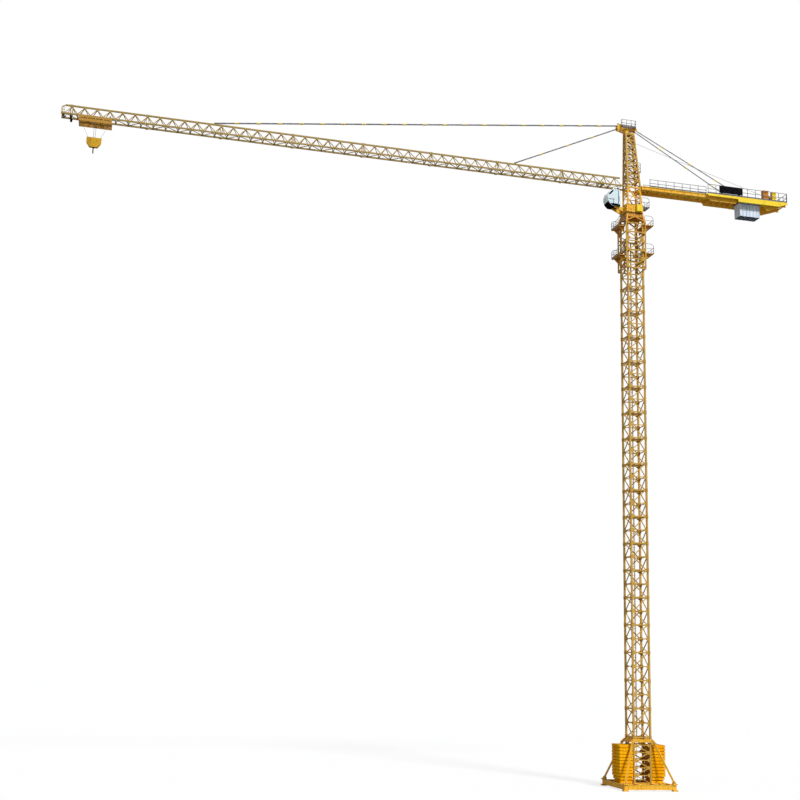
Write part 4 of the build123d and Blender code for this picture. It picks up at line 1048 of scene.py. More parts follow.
class Structure(Assembly):
    """The finishes of every CAD node that shows."""

    finishes = {
        Finish.MAST: ("head_legs", "head_bracing", "head_ladder", "mast_ladder", "mast_legs",
                      "mast_side_front", "mast_side_left", "mast_side_back", "mast_side_right",
                      "cage_posts", "cage_sides", "cage_guides"),
        Finish.YELLOW: ("base_frame", "base_collar", "base_struts", "turntable", "slewing_tower", "head_box",
                        "counter_frame"),
        Finish.BLOCK: ("hook_block",),
        Finish.AMBER: ("slewing_support", "cage_decks"),
        Finish.OLIVE: ("jib_chords", "jib_side_near", "jib_side_far", "jib_floor", "jib_tip"),
        Finish.BRIGHT: ("counter_decks", "slew_drives"),
        Finish.BALLAST: ("ballast_stacks",),
        Finish.WEIGHT: ("counter_weights",),
        Finish.GALVANISED: ("cage_rails", "counter_rails", "climb_rod", "climb_barrel", "front_ties",
                            "rear_ties", "rest_deck", "head_rest", "head_deck"),
        Finish.RING: ("slewing_ring", "head_pulleys", "trolley_wheels"),
        Finish.CAB: ("cab_body",),
        Finish.GLASS: ("cab_panes",),
        Finish.BLACK: ("jib_buffers",),
        Finish.BOARD: ("sign_board",),
        Finish.ORANGE: ("hoist_winch",),
        Finish.TROLLEY: ("trolley_frame",),
        Finish.ROPE: ("hoist_rope", "hook_falls"),
        Finish.HOOK: ("hook",),
    }

    def build(self) -> None:
        """Dresses each node."""
        for finish, nodes in self.finishes.items():
            for node in nodes:
                dress(node, finish)


@dataclass
class Base(Assembly):
    """The base frame's flanges and ribs, the struts' pins and the ballast's lifting eyes."""

    body = "mast"
    low: float = 0.014
    high: float = 0.060
    beams: Pair = (0.090, 0.265)
    reach: float = 0.2765
    width: float = 0.024
    foot: float = 0.265
    foot_plate: float = 0.0703
    collar: float = 0.1113
    collar_level: float = 0.469
    ballast_eye: Point = (0.176, 0.055, 0.4273)

    def flanges(self) -> Shape:
        """Flange strips over and under each beam, and ribs between them."""
        pairs = grid((-self.reach,), self.beams, (self.low + 0.0016, self.high - 0.0016))
        strips = bars(pairs, pairs * (-1, 1, 1), rectangle(self.width + 0.006, 0.0026))
        feet = grid(np.linspace(-0.235, 0.235, 11), self.beams, (self.low + 0.002,))
        ribs = bars(feet, feet + (0, 0, self.high - self.low - 0.004), rectangle(0.0016, self.width + 0.005))
        return joined(strips, ribs).ringed()

    def strut_plates(self) -> Shape:
        """The plates that clasp each strut at its foot and at the collar, turned to the diagonals."""
        foot = np.array([(0.0706, 0.346), (0.0706, 0.388), (0.094, 0.378), (0.100, 0.356)])
        head = np.array([(0.484, 0.150), (0.446, 0.150), (0.430, 0.182), (0.446, 0.190)])
        spots = stacked(0, (-0.0112, 0.0086), 0)
        plates = [drawn(outline, (0, 0, 0), Axis.Y, 0.0026).placed(spots) for outline in (foot, head)]
        return joined(*plates).turned(pi / 4).ringed()

    def strut_pins(self) -> Shape:
        """The pins through those plates, with a head on each end, and the bolts of the feet and collar."""
        middles, reach = np.array([(0.3665, 0.0, 0.0845), (0.170, 0.0, 0.449)]), np.array([0.0, 0.0135, 0.0])
        pins = rods(middles - reach, middles + reach, 0.0042, 12)
        heads = bolts(middles + reach, (0, 1, 0), 0.0036).mirrored()
        turned = joined(pins, heads).turned(pi / 4)
        places = (self.foot - 0.017, self.foot + 0.017)
        across = grid((-0.075, -0.045, 0.045, 0.075), (self.collar,), (self.collar_level,))
        return joined(turned, bolts(grid(places, places, (self.foot_plate,)), (0, 0, 1), 0.0026),
                      bolts(across, (0, 1, 0), 0.0032)).ringed()

    def pieces(self) -> dict[str, tuple]:
        """The base's pieces."""
        x, y, z = self.ballast_eye
        return {"base_flanges": (self.flanges(), Finish.YELLOW),
                "strut_plates": (self.strut_plates(), Finish.YELLOW),
                "strut_pins": (self.strut_pins(), Finish.ZINC),
                "ballast_eyes": (eyes(grid((-x, x), (-y, y), (z,))), Finish.ZINC)}


@dataclass
class Mast(Assembly):
    """The mast's bolted joints, the gussets at its braces, its landings and its ladder's hoops."""

    body = "mast"
    half: float = 0.090
    face: float = 0.099
    swell: float = 0.003
    plate: float = 0.0025
    base: float = 0.060
    base_section: float = 0.440
    section: float = 0.280
    joints: int = 20
    free_joints: int = 18
    brace_face: float = 0.0935
    landing: float = 0.076
    ladder_y: float = 0.0842

    def __post_init__(self) -> None:
        """Works out the levels of the section joints."""
        self.levels = self.base + self.base_section + self.section * np.arange(self.joints)
        self.free_levels = self.levels[:self.free_joints]

    def joint_plates(self) -> Shape:
        """Splice plates with cut corners on the near and back faces of the legs, under the cage."""
        plate = drawn(rounded(rectangle(0.052, 0.0175), 0.004, 2), (0, 0, 0), Axis.Y, self.plate)
        faces = (-self.face - self.plate, self.face)
        return plate.placed(grid((-self.half, self.half), faces, self.free_levels))

    def joint_bolts(self) -> Shape:
        """Four bolts on each splice face: two columns over and under the joint line."""
        across = (-self.half - 0.0045, -self.half + 0.0045, self.half - 0.0045, self.half + 0.0045)
        spots = grid(across, (-1.0, 1.0), (self.free_levels[:, None] + (-0.0095, 0.0095)).ravel())
        normals = spots * (0, 1, 0)
        near = bolts(spots * (1, self.face + self.plate, 1), normals, 0.0022)
        sides = spots[:, (1, 0, 2)] * (self.face + self.swell, 1, 1)
        return joined(near, bolts(sides, normals[:, (1, 0, 2)], 0.0022))

    def gussets(self) -> Shape:
        """Narrowing plates that tie the braces to the legs at every brace level, on all four faces."""
        low = self.base + self.base_section * np.arange(1, 6) / 6
        high = self.base + self.base_section + self.section / 2 * np.arange(2 * self.joints - 1)
        outline = trapezoid(0.050, 0.016, 0.026) - (0, self.half - 0.009)
        plate = drawn(outline, (0, -self.brace_face - 0.0014, 0), Axis.Y, 0.0016)
        return plate.raised(np.concatenate([low, high])).mirrored(Axis.X).ringed()

    def landings(self) -> Shape:
        """A half deck of grating inside the mast beside the ladder at every section joint."""
        deck = open_deck((-self.landing, -0.030, -0.003), (self.landing, self.ladder_y - 0.036, 0.003))
        feet = stacked((-0.030, 0.030), -0.0865, -0.002)
        joists = bars(feet, feet * (1, -1, 1), rectangle(0.005, 0.004))
        return joined(deck, joists).raised(self.free_levels)

    def pieces(self) -> dict[str, tuple]:
        """The mast's pieces."""
        hoops = ladder_cage((0.0, self.ladder_y), -0.034, np.linspace(self.levels[0], self.levels[-2], 103))
        return {"mast_landings": (self.landings(), Finish.MAST), "mast_ladder_hoops": (hoops, Finish.MAST),
                "joint_plates": (self.joint_plates(), Finish.MAST),
                "joint_bolts": (self.joint_bolts(), Finish.RING),
                "mast_gussets": (self.gussets(), Finish.MAST)}


@dataclass
class Cage(Assembly):
    """The climbing cage's gussets, deck gratings, tubular rails and cylinder fittings."""

    body = "climbing_cage"
    bottom: float = 5.465
    height: float = 0.530
    half: float = 0.112
    post: float = 0.013
    face: float = 0.1158
    rung: float = 0.012
    bays: int = 5
    half_deck: float = 0.095
    decks: tuple[tuple[int, float, float], ...] = ((-1, 0.088, 5.953), (-1, 0.088, 5.615),
                                                   (1, 0.105, 5.989), (1, 0.105, 5.663))
    rail: float = 0.110
    bend: float = 0.042
    cylinder: Pair = (0.1295, 5.695)

    def gussets(self) -> Shape:
        """Plates at the lattice's nodes on the near, left and right sides."""
        levels = self.bottom + self.rung / 2 + (self.height - self.rung) * np.arange(1, self.bays) / self.bays
        outline = trapezoid(0.040, 0.012, 0.022) - (0, self.half - self.post / 2)
        one = drawn(outline, (0, -self.face - 0.0006, 0), Axis.Y, 0.0016).raised(levels).mirrored(Axis.X)
        return joined(one, one.turned(-pi / 2), one.turned(pi / 2))

    def treads(self) -> Shape:
        """A grating over each deck's planks, and joists under them."""
        parts, half = [], self.half_deck
        for side, reach, level in self.decks:
            near, far = side * (self.face + 0.002), side * (self.face + reach - 0.002)
            feet = grid((near + side * 0.02, (near + far) / 2, far - side * 0.008), (0.004 - half,),
                        (level - 0.0085,))
            parts += [grate((near, 0.002 - half, level - 0.0005), (far, half - 0.002, level + 0.0014)),
                      bars(feet, feet * (1, -1, 1), rectangle(0.004, 0.005))]
        return joined(*parts)

    def railings(self) -> Shape:
        """A rounded railing round every deck."""
        rails = [RoundRailing(side * self.face, side * (self.face + reach), self.half_deck, level + 0.0003,
                              self.rail, self.bend, 4) for side, reach, level in self.decks]
        return joined(*[rail.shape() for rail in rails])

    def fittings(self) -> Shape:
        """The cylinder's gland, collars and feed pipes."""
        (y, low), parts = self.cylinder, []
        for a, b in ((0.0, 0.012), (0.062, 0.068), (0.124, 0.134)):
            ring = [(0.0085, a), (0.0118, a + 0.001), (0.0118, b - 0.001), (0.0085, b)]
            parts.append(lathed(ring, (0, y, low), Axis.Z, 20, True))
        corners = [(0.009, y, low + 0.006), (0.015, y, low + 0.006), (0.015, y, low + 0.128),
                   (0.060, self.half + 0.003, low + 0.140)]
        pipe = swept(bent(corners, 0.004), circle(0.0011, 8), (0, 1, 0.05))
        return joined(*parts, pipe.mirrored(Axis.X))

    def pieces(self) -> dict[str, tuple]:
        """The cage's pieces."""
        return {"cage_gussets": (self.gussets(), Finish.MAST),
                "cage_gratings": (self.treads(), Finish.GALVANISED),
                "cage_railings": (self.railings(), Finish.GALVANISED, "cage_rails"),
                "cylinder_fittings": (self.fittings(), Finish.ZINC)}


@dataclass
class Support(Assembly):
    """The support under the slewing ring: its flanges and ribs, and the ring's teeth."""

    body = "climbing_cage"
    half: float = 0.098
    levels: Pair = (6.0653, 6.1053)
    ring_radius: float = 0.0905
    teeth: int = 108

    def banded(self) -> Shape:
        """A box's flange strips along its lower and upper edges and the ribs between them."""
        low, high = self.levels
        spots = grid((-self.half - 0.0015,), (-self.half - 0.0010,), (low + 0.0018, high - 0.0018))
        strips = bars(spots, spots * (-1, 1, 1), rectangle(0.005, 0.0032))
        feet = grid((-0.078, -0.047, -0.016, 0.016, 0.047, 0.078), (-self.half - 0.0008,), (low + 0.003,))
        ribs = bars(feet, feet + (0, 0, high - low - 0.006), rectangle(0.0018, 0.0045))
        return joined(strips, ribs).ringed()

    def teeth_ring(self) -> Shape:
        """The toothed rim: the radius steps between tip and root four times a tooth."""
        radii = self.ring_radius - np.tile([0.0, 0.0, 0.0030, 0.0030], self.teeth)
        outline = circle(1.0, 4 * self.teeth) * radii[:, None]
        return drawn(outline, (0, 0, self.levels[1] + 0.004), Axis.Z, 0.009)

    def pieces(self) -> dict[str, tuple]:
        """The support's pieces."""
        return {"support_bands": (self.banded(), Finish.AMBER),
                "ring_teeth": (self.teeth_ring(), Finish.RING)}


@dataclass
class Slewing(Support):
    """The slewing unit: flanges, ribs, the drives' motors, covers and the tower's feet and braces."""

    body = "slewing_part"
    levels: Pair = (6.1221, 6.2151)
    drive: Point = (0.044, 0.1133, 6.208)
    tower_x: Pair = (-0.068, 0.084)
    tower_y: float = 0.060
    tower_top: float = 6.4354
    support_top: float = 6.1053

    @property
    def legs(self) -> np.ndarray:
        """The places of the tower's four legs, at level 0."""
        return grid(self.tower_x, (-self.tower_y, self.tower_y), (0.0,))

    def motors(self) -> Shape:
        """A finned slewing motor on each drive: a profile whose radius steps out at every fin."""
        fins = [(0.0095 + 0.002 * (k % 2), 0.003 + 0.0012 * k) for k in range(13)]
        profile = [(0.013, -0.001), (0.013, 0.003), *fins, (0.009, 0.0195), (0.006, 0.022)]
        return lathed(profile, self.drive, Axis.Z, 20).mirrored()

    def covers(self) -> Shape:
        """A round inspection cover and its ring of bolts on the table's near and far faces."""
        level, ring = sum(self.levels) / 2, circle(0.0155, 8)
        profile = [(0.019, -0.002), (0.019, 0.0015), (0.017, 0.0024), (0.004, 0.0032)]
        spots = stacked(ring[:, 0] - 0.046, self.half + 0.0022, ring[:, 1] + level)
        return joined(lathed(profile, (-0.046, self.half, level), Axis.Y, 24),
                      bolts(spots, (0, 1, 0), 0.0013)).mirrored()

    def fasteners(self) -> Shape:
        """Bolts on the flanges, the tower's foot plates and its pin gussets."""
        low, high = self.levels
        rows = grid((-0.088, -0.062, -0.031, 0.0, 0.031, 0.062, 0.088), (self.half + 0.0034,),
                    (self.support_top - 0.0018, low + 0.0018, high - 0.0018))
        offsets = grid((-0.0115, 0.0115), (-0.0115, 0.0115), (high + 0.0030,))
        feet = bolts(offsets, (0, 0, 1), 0.0017).placed(self.legs)
        pins = stacked((self.tower_x[0] + 0.012, self.tower_x[1] - 0.012), self.tower_y + 0.005,
                       self.tower_top - 0.016)
        heads = bolts(pins, (0, 1, 0), 0.0065).mirrored()
        return joined(bolts(rows, (0, 1, 0), 0.0016).ringed(), feet, heads)

    def foot_plates(self) -> Shape:
        """The tower legs' foot plates with cut corners, and lifting eyes on the table."""
        high = self.levels[1]
        plate = drawn(rounded(rectangle(0.031, 0.031), 0.004, 2), (0, 0, high - 0.0003), Axis.Z, 0.0032)
        return joined(plate.placed(self.legs),
                      eyes(grid((-0.088, 0.030), (-0.084, 0.084), (high - 0.001,)), 0.006))

    def tower_braces(self) -> Shape:
        """A rung half way up each face of the tower, and struts from it to the legs' heads."""
        (x0, x1), y, low, high = self.tower_x, self.tower_y, self.levels[1] + 0.006, self.tower_top - 0.008
        corners = np.array([(x0, -y), (x1, -y), (x1, y), (x0, y)])
        ends = np.roll(corners, -1, axis=0)
        middles = (corners + ends) / 2
        first, last, centres = (stacked(at[:, 0], at[:, 1], (low + high) / 2)
                                for at in (corners, ends, middles))
        tops = np.vstack([stacked(at[:, 0], at[:, 1], high) for at in (corners, ends)])
        return joined(bars(first, last, rectangle(0.006, 0.007)),
                      bars(np.tile(centres, (2, 1)), tops, rectangle(0.005, 0.005)))

    def pieces(self) -> dict[str, tuple]:
        """The slewing unit's pieces."""
        return {"tower_braces": (self.tower_braces(), Finish.YELLOW),
                "table_bands": (self.banded(), Finish.YELLOW), "table_covers": (self.covers(), Finish.YELLOW),
                "slew_motors": (self.motors(), Finish.GALVANISED),
                "tower_feet": (self.foot_plates(), Finish.YELLOW),
                "slewing_bolts": (self.fasteners(), Finish.ZINC)}


@dataclass
class Cab(Assembly):
    """The driver's cab: a frame along its side outline, skins, curved glass, a seat and lamps."""

    front: float = -0.311
    rear: float = -0.158
    half: float = 0.065
    low: float = 6.186
    high: float = 6.380
    brow: Point = (0.064, 0.050, 0.014)
    nose: Pair = (0.002, 0.078)
    chin: float = 0.056
    edge: float = 0.008
    band: float = 0.026
    door: float = -0.181
    sill: float = 6.262

    def arc(self, inset: float, steps: int = 26) -> np.ndarray:
        """The front curve as (z, x) pairs: points on the circle through brow, nose and chin, at
        equal angles, drawn in by the inset.

        Args:
            inset: how far inside the outer curve.
            steps: how many points.

        Returns:
            The points, from the brow down to the chin.
        """
        a = np.array([self.front + self.brow[2], self.high - self.brow[1]])
        b = np.array([self.front + self.nose[0], self.low + self.nose[1]])
        c = np.array([self.front + self.chin, self.low])
        centre = np.linalg.solve(2 * np.array([b - a, c - a]), np.array([b @ b - a @ a, c @ c - a @ a]))
        radius = np.linalg.norm(a - centre) - inset
        first, last = (np.arctan2(*(p - centre)[::-1]) % tau for p in (a, c))
        angles = np.linspace(first, last, steps)
        return stacked(centre[1] + radius * np.sin(angles), centre[0] + radius * np.cos(angles))

    def outline(self, inset: float) -> np.ndarray:
        """The whole side view as (z, x) pairs: the front curve, then rounded rear corners and roof.

        Args:
            inset: how far inside the outer line.

        Returns:
            The outline.
        """
        low, high = self.low + inset, self.high - inset
        rear, roof = self.rear - inset, self.front + self.brow[0] + inset * 0.4
        curve = self.arc(inset)
        corners = [curve[-1], (low, rear), (high, rear), (high, roof), curve[0]]
        return np.concatenate([curve[1:-1], bent(corners, (0.010, 0.012, 0.012), 6)])

    def skin(self, outer: np.ndarray, inner: np.ndarray, half: float) -> Shape:
        """A panel across the cab between two lines of (z, x) pairs."""
        return drawn(np.concatenate([outer, inner[::-1]]), (0, -half, 0), Axis.Y, 2 * half)

    def frame(self) -> Shape:
        """The frame: a rounded bar carried round the outline on each side, and bars across its corners."""
        path, half = self.outline(self.edge / 2), self.half - self.edge / 2
        section = rounded(rectangle(self.edge, self.edge), self.edge * 0.3, 3)
        side = swept(stacked(path[:, 1], half, path[:, 0]), section, (0, 1, 0), True)
        rear = self.rear - 0.006
        starts = np.array([(rear, -0.061, self.low + 0.006), (rear, -0.061, self.high - 0.006),
                           (self.front + self.brow[0], -0.061, self.high - 0.005),
                           (self.front + self.brow[2] + 0.005, -0.061, self.high - self.brow[1])])
        across = bars(starts, starts * (1, -1, 1), rounded(rectangle(0.009, 0.009), 0.003, 3))
        return joined(side.mirrored(), across)

    def shell(self) -> Shape:
        """The crowned roof, the rear wall and the rear side panels with their pressed ribs."""
        roof, half, rear = self.front + self.brow[0] + 0.002, self.half - self.edge / 2, self.rear
        t = np.linspace(-1, 1, 13)
        crown = stacked(half * t, self.high - 0.0045 + 0.0035 * (1 - t**2))
        line = np.concatenate([crown, crown[::-1] - (0, 0.004)])
        rows = grid((rear - 0.0005,), (-half + 0.012,), np.linspace(self.low + 0.03, self.high - 0.03, 7))
        panel = block((self.door, self.half - 0.0045, self.low + 0.004),
                      (rear - 0.004, self.half - 0.0015, self.high - 0.006))
        return joined(drawn(line, (roof, 0, 0), Axis.X, rear - 0.004 - roof),
                      block((rear - 0.004, -half, self.low + 0.004), (rear - 0.001, half, self.high - 0.006)),
                      bars(rows, rows * (1, -1, 1), rounded(rectangle(0.0016, 0.008), 0.0007, 2)),
                      panel.mirrored())

    def side_glass(self) -> Shape:
        """The side windows: the outline over the dark band, cut off at the door post, its corners
        put in order by their angle about a point inside."""
        line, floor = self.outline(self.edge * 0.7), self.low + self.band
        inside = line[(line[:, 0] >= floor) & (line[:, 1] <= self.door)]
        feet = [(floor, inside[inside[:, 1] < -0.25][:, 1].max()), (floor, self.door),
                (line[:, 0].max(), self.door)]
        corners = np.concatenate([inside, feet])
        corners = corners[np.argsort(np.arctan2(corners[:, 0] - 6.29, corners[:, 1] + 0.24))]
        return drawn(corners, (0, self.half - 0.0034, 0), Axis.Y, 0.0016).mirrored()

    def screen(self) -> Shape:
        """The curved front window, from the brow down to the dark band."""
        outer, inner = self.arc(0.0015), self.arc(0.0032)
        keep = outer[:, 0] >= self.low + self.band
        return self.skin(outer[keep], inner[keep], self.half - self.edge)

    def dark_trim(self) -> Shape:
        """The dark brow, the band that wraps the foot of the cab, the mullions and the wiper."""
        run, drop, set_back = self.brow
        foot, chin, rear = self.low + self.band, self.front + self.chin, self.rear
        slope = np.array([(self.high - 0.003, self.front + run + 0.004),
                          (self.high - drop - 0.010, self.front + set_back + 0.001)])
        middle = np.array([(self.low + self.high) / 2, (self.front + rear) / 2])
        outer, inner = self.arc(-0.0004), self.arc(0.004)
        keep = outer[:, 0] <= foot + 0.026
        across = [self.skin(slope, slope + unit(middle - slope) * 0.020, self.half + 0.0004),
                  self.skin(outer[keep], inner[keep], self.half - 0.0006),
                  block((chin - 0.002, 0.001 - self.half, self.low - 0.0002),
                        (rear - 0.001, self.half - 0.001, self.low + 0.004))]
        line = self.outline(0.002)
        toe = line[(line[:, 0] <= foot) & (line[:, 1] < -0.23)][:, 1].min()
        side = np.array([(self.low + 0.001, chin), (self.low + 0.001, rear - 0.003),
                         (self.low + self.band * 0.75, rear - 0.003), (foot, toe + 0.002)])
        y = self.half - 0.0007
        starts = [(self.door, y, foot), (-0.238, y, foot), (-0.301, y, self.sill)]
        ends = [(self.door, y, self.high - 0.008), (-0.238, y, self.sill), (-0.228, y, self.sill)]
        sides = [drawn(side, (0, y - 0.001, 0), Axis.Y, 0.002),
                 bars(starts, ends, rounded(rectangle(0.0050, 0.0022), 0.0007, 2))]
        arc = self.arc(-0.001)[4:15]
        blade = swept(stacked(arc[:, 1], 0.014, arc[:, 0]), rectangle(0.0016, 0.0012), (0, 1, 0))
        arm = stacked(arc[::2, 1] - 0.001, np.linspace(0.014, 0.030, 6), arc[::2, 0] - 0.030)
        return joined(*across, joined(*sides).mirrored(), blade,
                      swept(arm, circle(0.0009, 6), (0, 1, 0.01)))

    def seat(self) -> Shape:
        """The seat: a cushion and a back on a pillar, and arm rests with control levers."""
        rest = drawn(rounded(rectangle(0.011, 0.020), 0.003, 3), (-0.232, 0.027, 6.236), Axis.X, 0.036)
        arms = joined(rest, rods((-0.224, 0.027, 6.246), (-0.226, 0.027, 6.262), 0.0016))
        return joined(drawn(rounded(rectangle(0.034, 0.010), 0.004, 4), (-0.222, 0, 6.236), Axis.X, 0.036),
                      drawn(rounded(rectangle(0.009, 0.032), 0.004, 4), (-0.190, 0, 6.240), Axis.Z, 0.052),
                      drawn(circle(0.007, 12), (-0.205, 0, 6.194), Axis.Z, 0.038), arms.mirrored())

    def fittings(self) -> Shape:
        """The roof rail, the grab handles by the door and the housings of two work lamps."""
        z, y = self.high - 0.004, self.half - 0.001
        roof = [(self.rear - 0.010, 0.050, z), (self.rear - 0.010, 0.050, z + 0.010),
                (-0.236, 0.050, z + 0.010), (-0.236, 0.050, z)]
        grab = [(-0.172, y, 6.24), (-0.172, y + 0.006, 6.24), (-0.172, y + 0.006, 6.30), (-0.172, y, 6.30)]
        lamp = [(0.003, 0.010), (0.0068, 0.006), (0.0072, 0.0), (0.0060, 0.0)]
        return joined(swept(bent(roof, 0.004), circle(0.0012, 8), (0, 1, 0)),
                      swept(bent(grab, 0.003), circle(0.0011, 8), (1, 0, 0)),
                      lathed(lamp, (-0.296, 0.050, 6.338), Axis.X, 16)).mirrored()

    def pieces(self) -> dict[str, tuple]:
        """The cab's pieces."""
        return {"cab_frame": (self.frame(), Finish.CAB, "cab_body"), "cab_shell": (self.shell(), Finish.CAB),
                "cab_side_glass": (self.side_glass(), Finish.GLASS, "cab_panes"),
                "cab_screen": (self.screen(), Finish.GLASS), "cab_trim": (self.dark_trim(), Finish.BLACK),
                "cab_seat": (self.seat(), Finish.SEAT), "cab_fittings": (self.fittings(), Finish.GALVANISED)}


@dataclass
class Head(Assembly):
    """The tower head: grooved pulleys, open decks with rails, gussets, ladder hoops and a lamp."""

    foot: float = 6.4357
    top: float = 7.085
    front: Pair = (-0.068, -0.068)
    rear: Pair = (0.084, 0.027)
    half: Pair = (0.060, 0.030)
    bays: int = 9
    end_share: float = 0.15
    leg: float = 0.016
    floor: float = 7.1453
    deck: Pair = (-0.130, 0.042)
    deck_edges: Pair = (0.0383, 0.0643)
    bar: float = 0.005

    def leg_points(self, ends: Pair, shares: np.ndarray) -> np.ndarray:
        """Points on a far leg's axis: its foot plus the shares of the way to its top."""
        x, y, z = (low + (high - low) * shares for low, high in (ends, self.half, (self.foot, self.top)))
        return stacked(x, y, z)

    def gussets(self) -> Shape:
        """Plates on the outer faces of the legs at each node of the side lattices."""
        shares, parts = (np.arange(1, self.bays + 1) + self.end_share) / (self.bays + 2 * self.end_share), []
        for ends, toward in ((self.front, 1), (self.rear, -1)):
            outline = trapezoid(0.034, 0.012, 0.020) * (1, toward) - (0, toward * 0.002)
            plate = drawn(outline, (0, -0.0008, 0), Axis.Y, 0.0016)
            parts.append(plate.placed(self.leg_points(ends, shares) + (toward * 0.006, 0.0050, 0)))
        return joined(*parts).mirrored()

    def leg_bolts(self) -> Shape:
        """Splice bolts in rows on each leg at its foot, middle and top."""
        shares = np.array([0.015, 0.035, 0.49, 0.51, 0.965, 0.985])
        points = np.concatenate([self.leg_points(ends, shares) for ends in (self.front, self.rear)])
        return bolts(points + (0, self.leg / 2, 0), (0, 1, 0), 0.0026).mirrored()

    def hoops(self) -> Shape:
        """The ladder's safety hoops, turned to stand out behind the rungs."""
        levels = np.linspace(self.foot + 0.09, self.top - 0.05, 12)
        return ladder_cage((0.0, 0.059), -0.036, levels).turned(pi / 2)

    def sheaves(self) -> Shape:
        """The two pulleys in the box, the hoist rope's pulley under it and the one at the jib's root."""
        return joined(sheave(stacked((-0.058, -0.004), 0, self.floor + 0.0233), 0.017, 0.010, 0.005, 0.0237),
                      sheave((0.005, 0, 6.985), 0.017, 0.008, 0.005, 0.0064),
                      sheave((-0.032, 0, 6.43545), 0.017, 0.008, 0.005, 0.0527))

    def side_floors(self) -> Shape:
        """The grating decks beside the head box."""
        (x0, x1), (near, far) = self.deck, self.deck_edges
        return open_deck((x0, near, self.floor), (x1, far, self.floor + 0.006)).mirrored()

    def side_rails(self) -> Shape:
        """The railings round those decks' outer sides."""
        (x0, x1), (near, far), half, level = self.deck, self.deck_edges, self.bar / 2, self.floor + 0.006
        ends = [rail_run((x, near, level), (x, far, level), 0.084, 2, self.bar)
                for x in (x0 + half, x1 - half)]
        long = rail_run((x0, far - half, level), (x1, far - half, level), 0.084, 4, self.bar)
        return joined(long, *ends).mirrored()

    def railed(self, face: float, outer: float, half: float, level: float, bend: float, posts: int) -> Shape:
        """A grating deck behind a face with a rounded railing round its three free sides."""
        return joined(open_deck((face, -half, level - 0.006), (outer, half, level)),
                      RoundRailing(face, outer, half, level, 0.110, bend, posts).shape())

    def lamp(self) -> tuple[Shape, Shape]:
        """The warning lamp's stand and its dome: radius and height by cosine and sine."""
        stand = [(0.0022, 0.0), (0.0022, 0.028), (0.0045, 0.029), (0.0050, 0.032)]
        t = np.linspace(0, pi / 2, 7)[:-1]
        dome = np.concatenate([[(0.0045, -0.004)], stacked(0.0045 * np.cos(t), 0.010 * np.sin(t))])
        return (lathed(stand, (0.030, 0, self.floor + 0.006), Axis.Z, 16),
                lathed(dome, (0.030, 0, self.floor + 0.042), Axis.Z, 16))

    def pieces(self) -> dict[str, tuple]:
        """The head's pieces."""
        rest, perch = (0.0983, 0.1933, 0.060, 6.2151, 0.042, 3), (0.07187, 0.10787, 0.030, 6.640, 0.018, 2)
        stand, dome = self.lamp()
        return {"head_gussets": (self.gussets(), Finish.MAST), "head_bolts": (self.leg_bolts(), Finish.ZINC),
                "ladder_hoops": (self.hoops(), Finish.MAST),
                "head_sheaves": (self.sheaves(), Finish.RING, "head_pulleys"),
                "head_gratings": (self.side_floors(), Finish.GALVANISED, "head_deck"),
                "head_railings": (self.side_rails(), Finish.GALVANISED),
                "rear_platform": (self.railed(*rest), Finish.GALVANISED, "rest_deck"),
                "head_perch": (self.railed(*perch), Finish.GALVANISED, "head_rest"),
                "lamp_stand": (stand, Finish.GALVANISED), "red_lamp": (dome, Finish.RED_LAMP)}


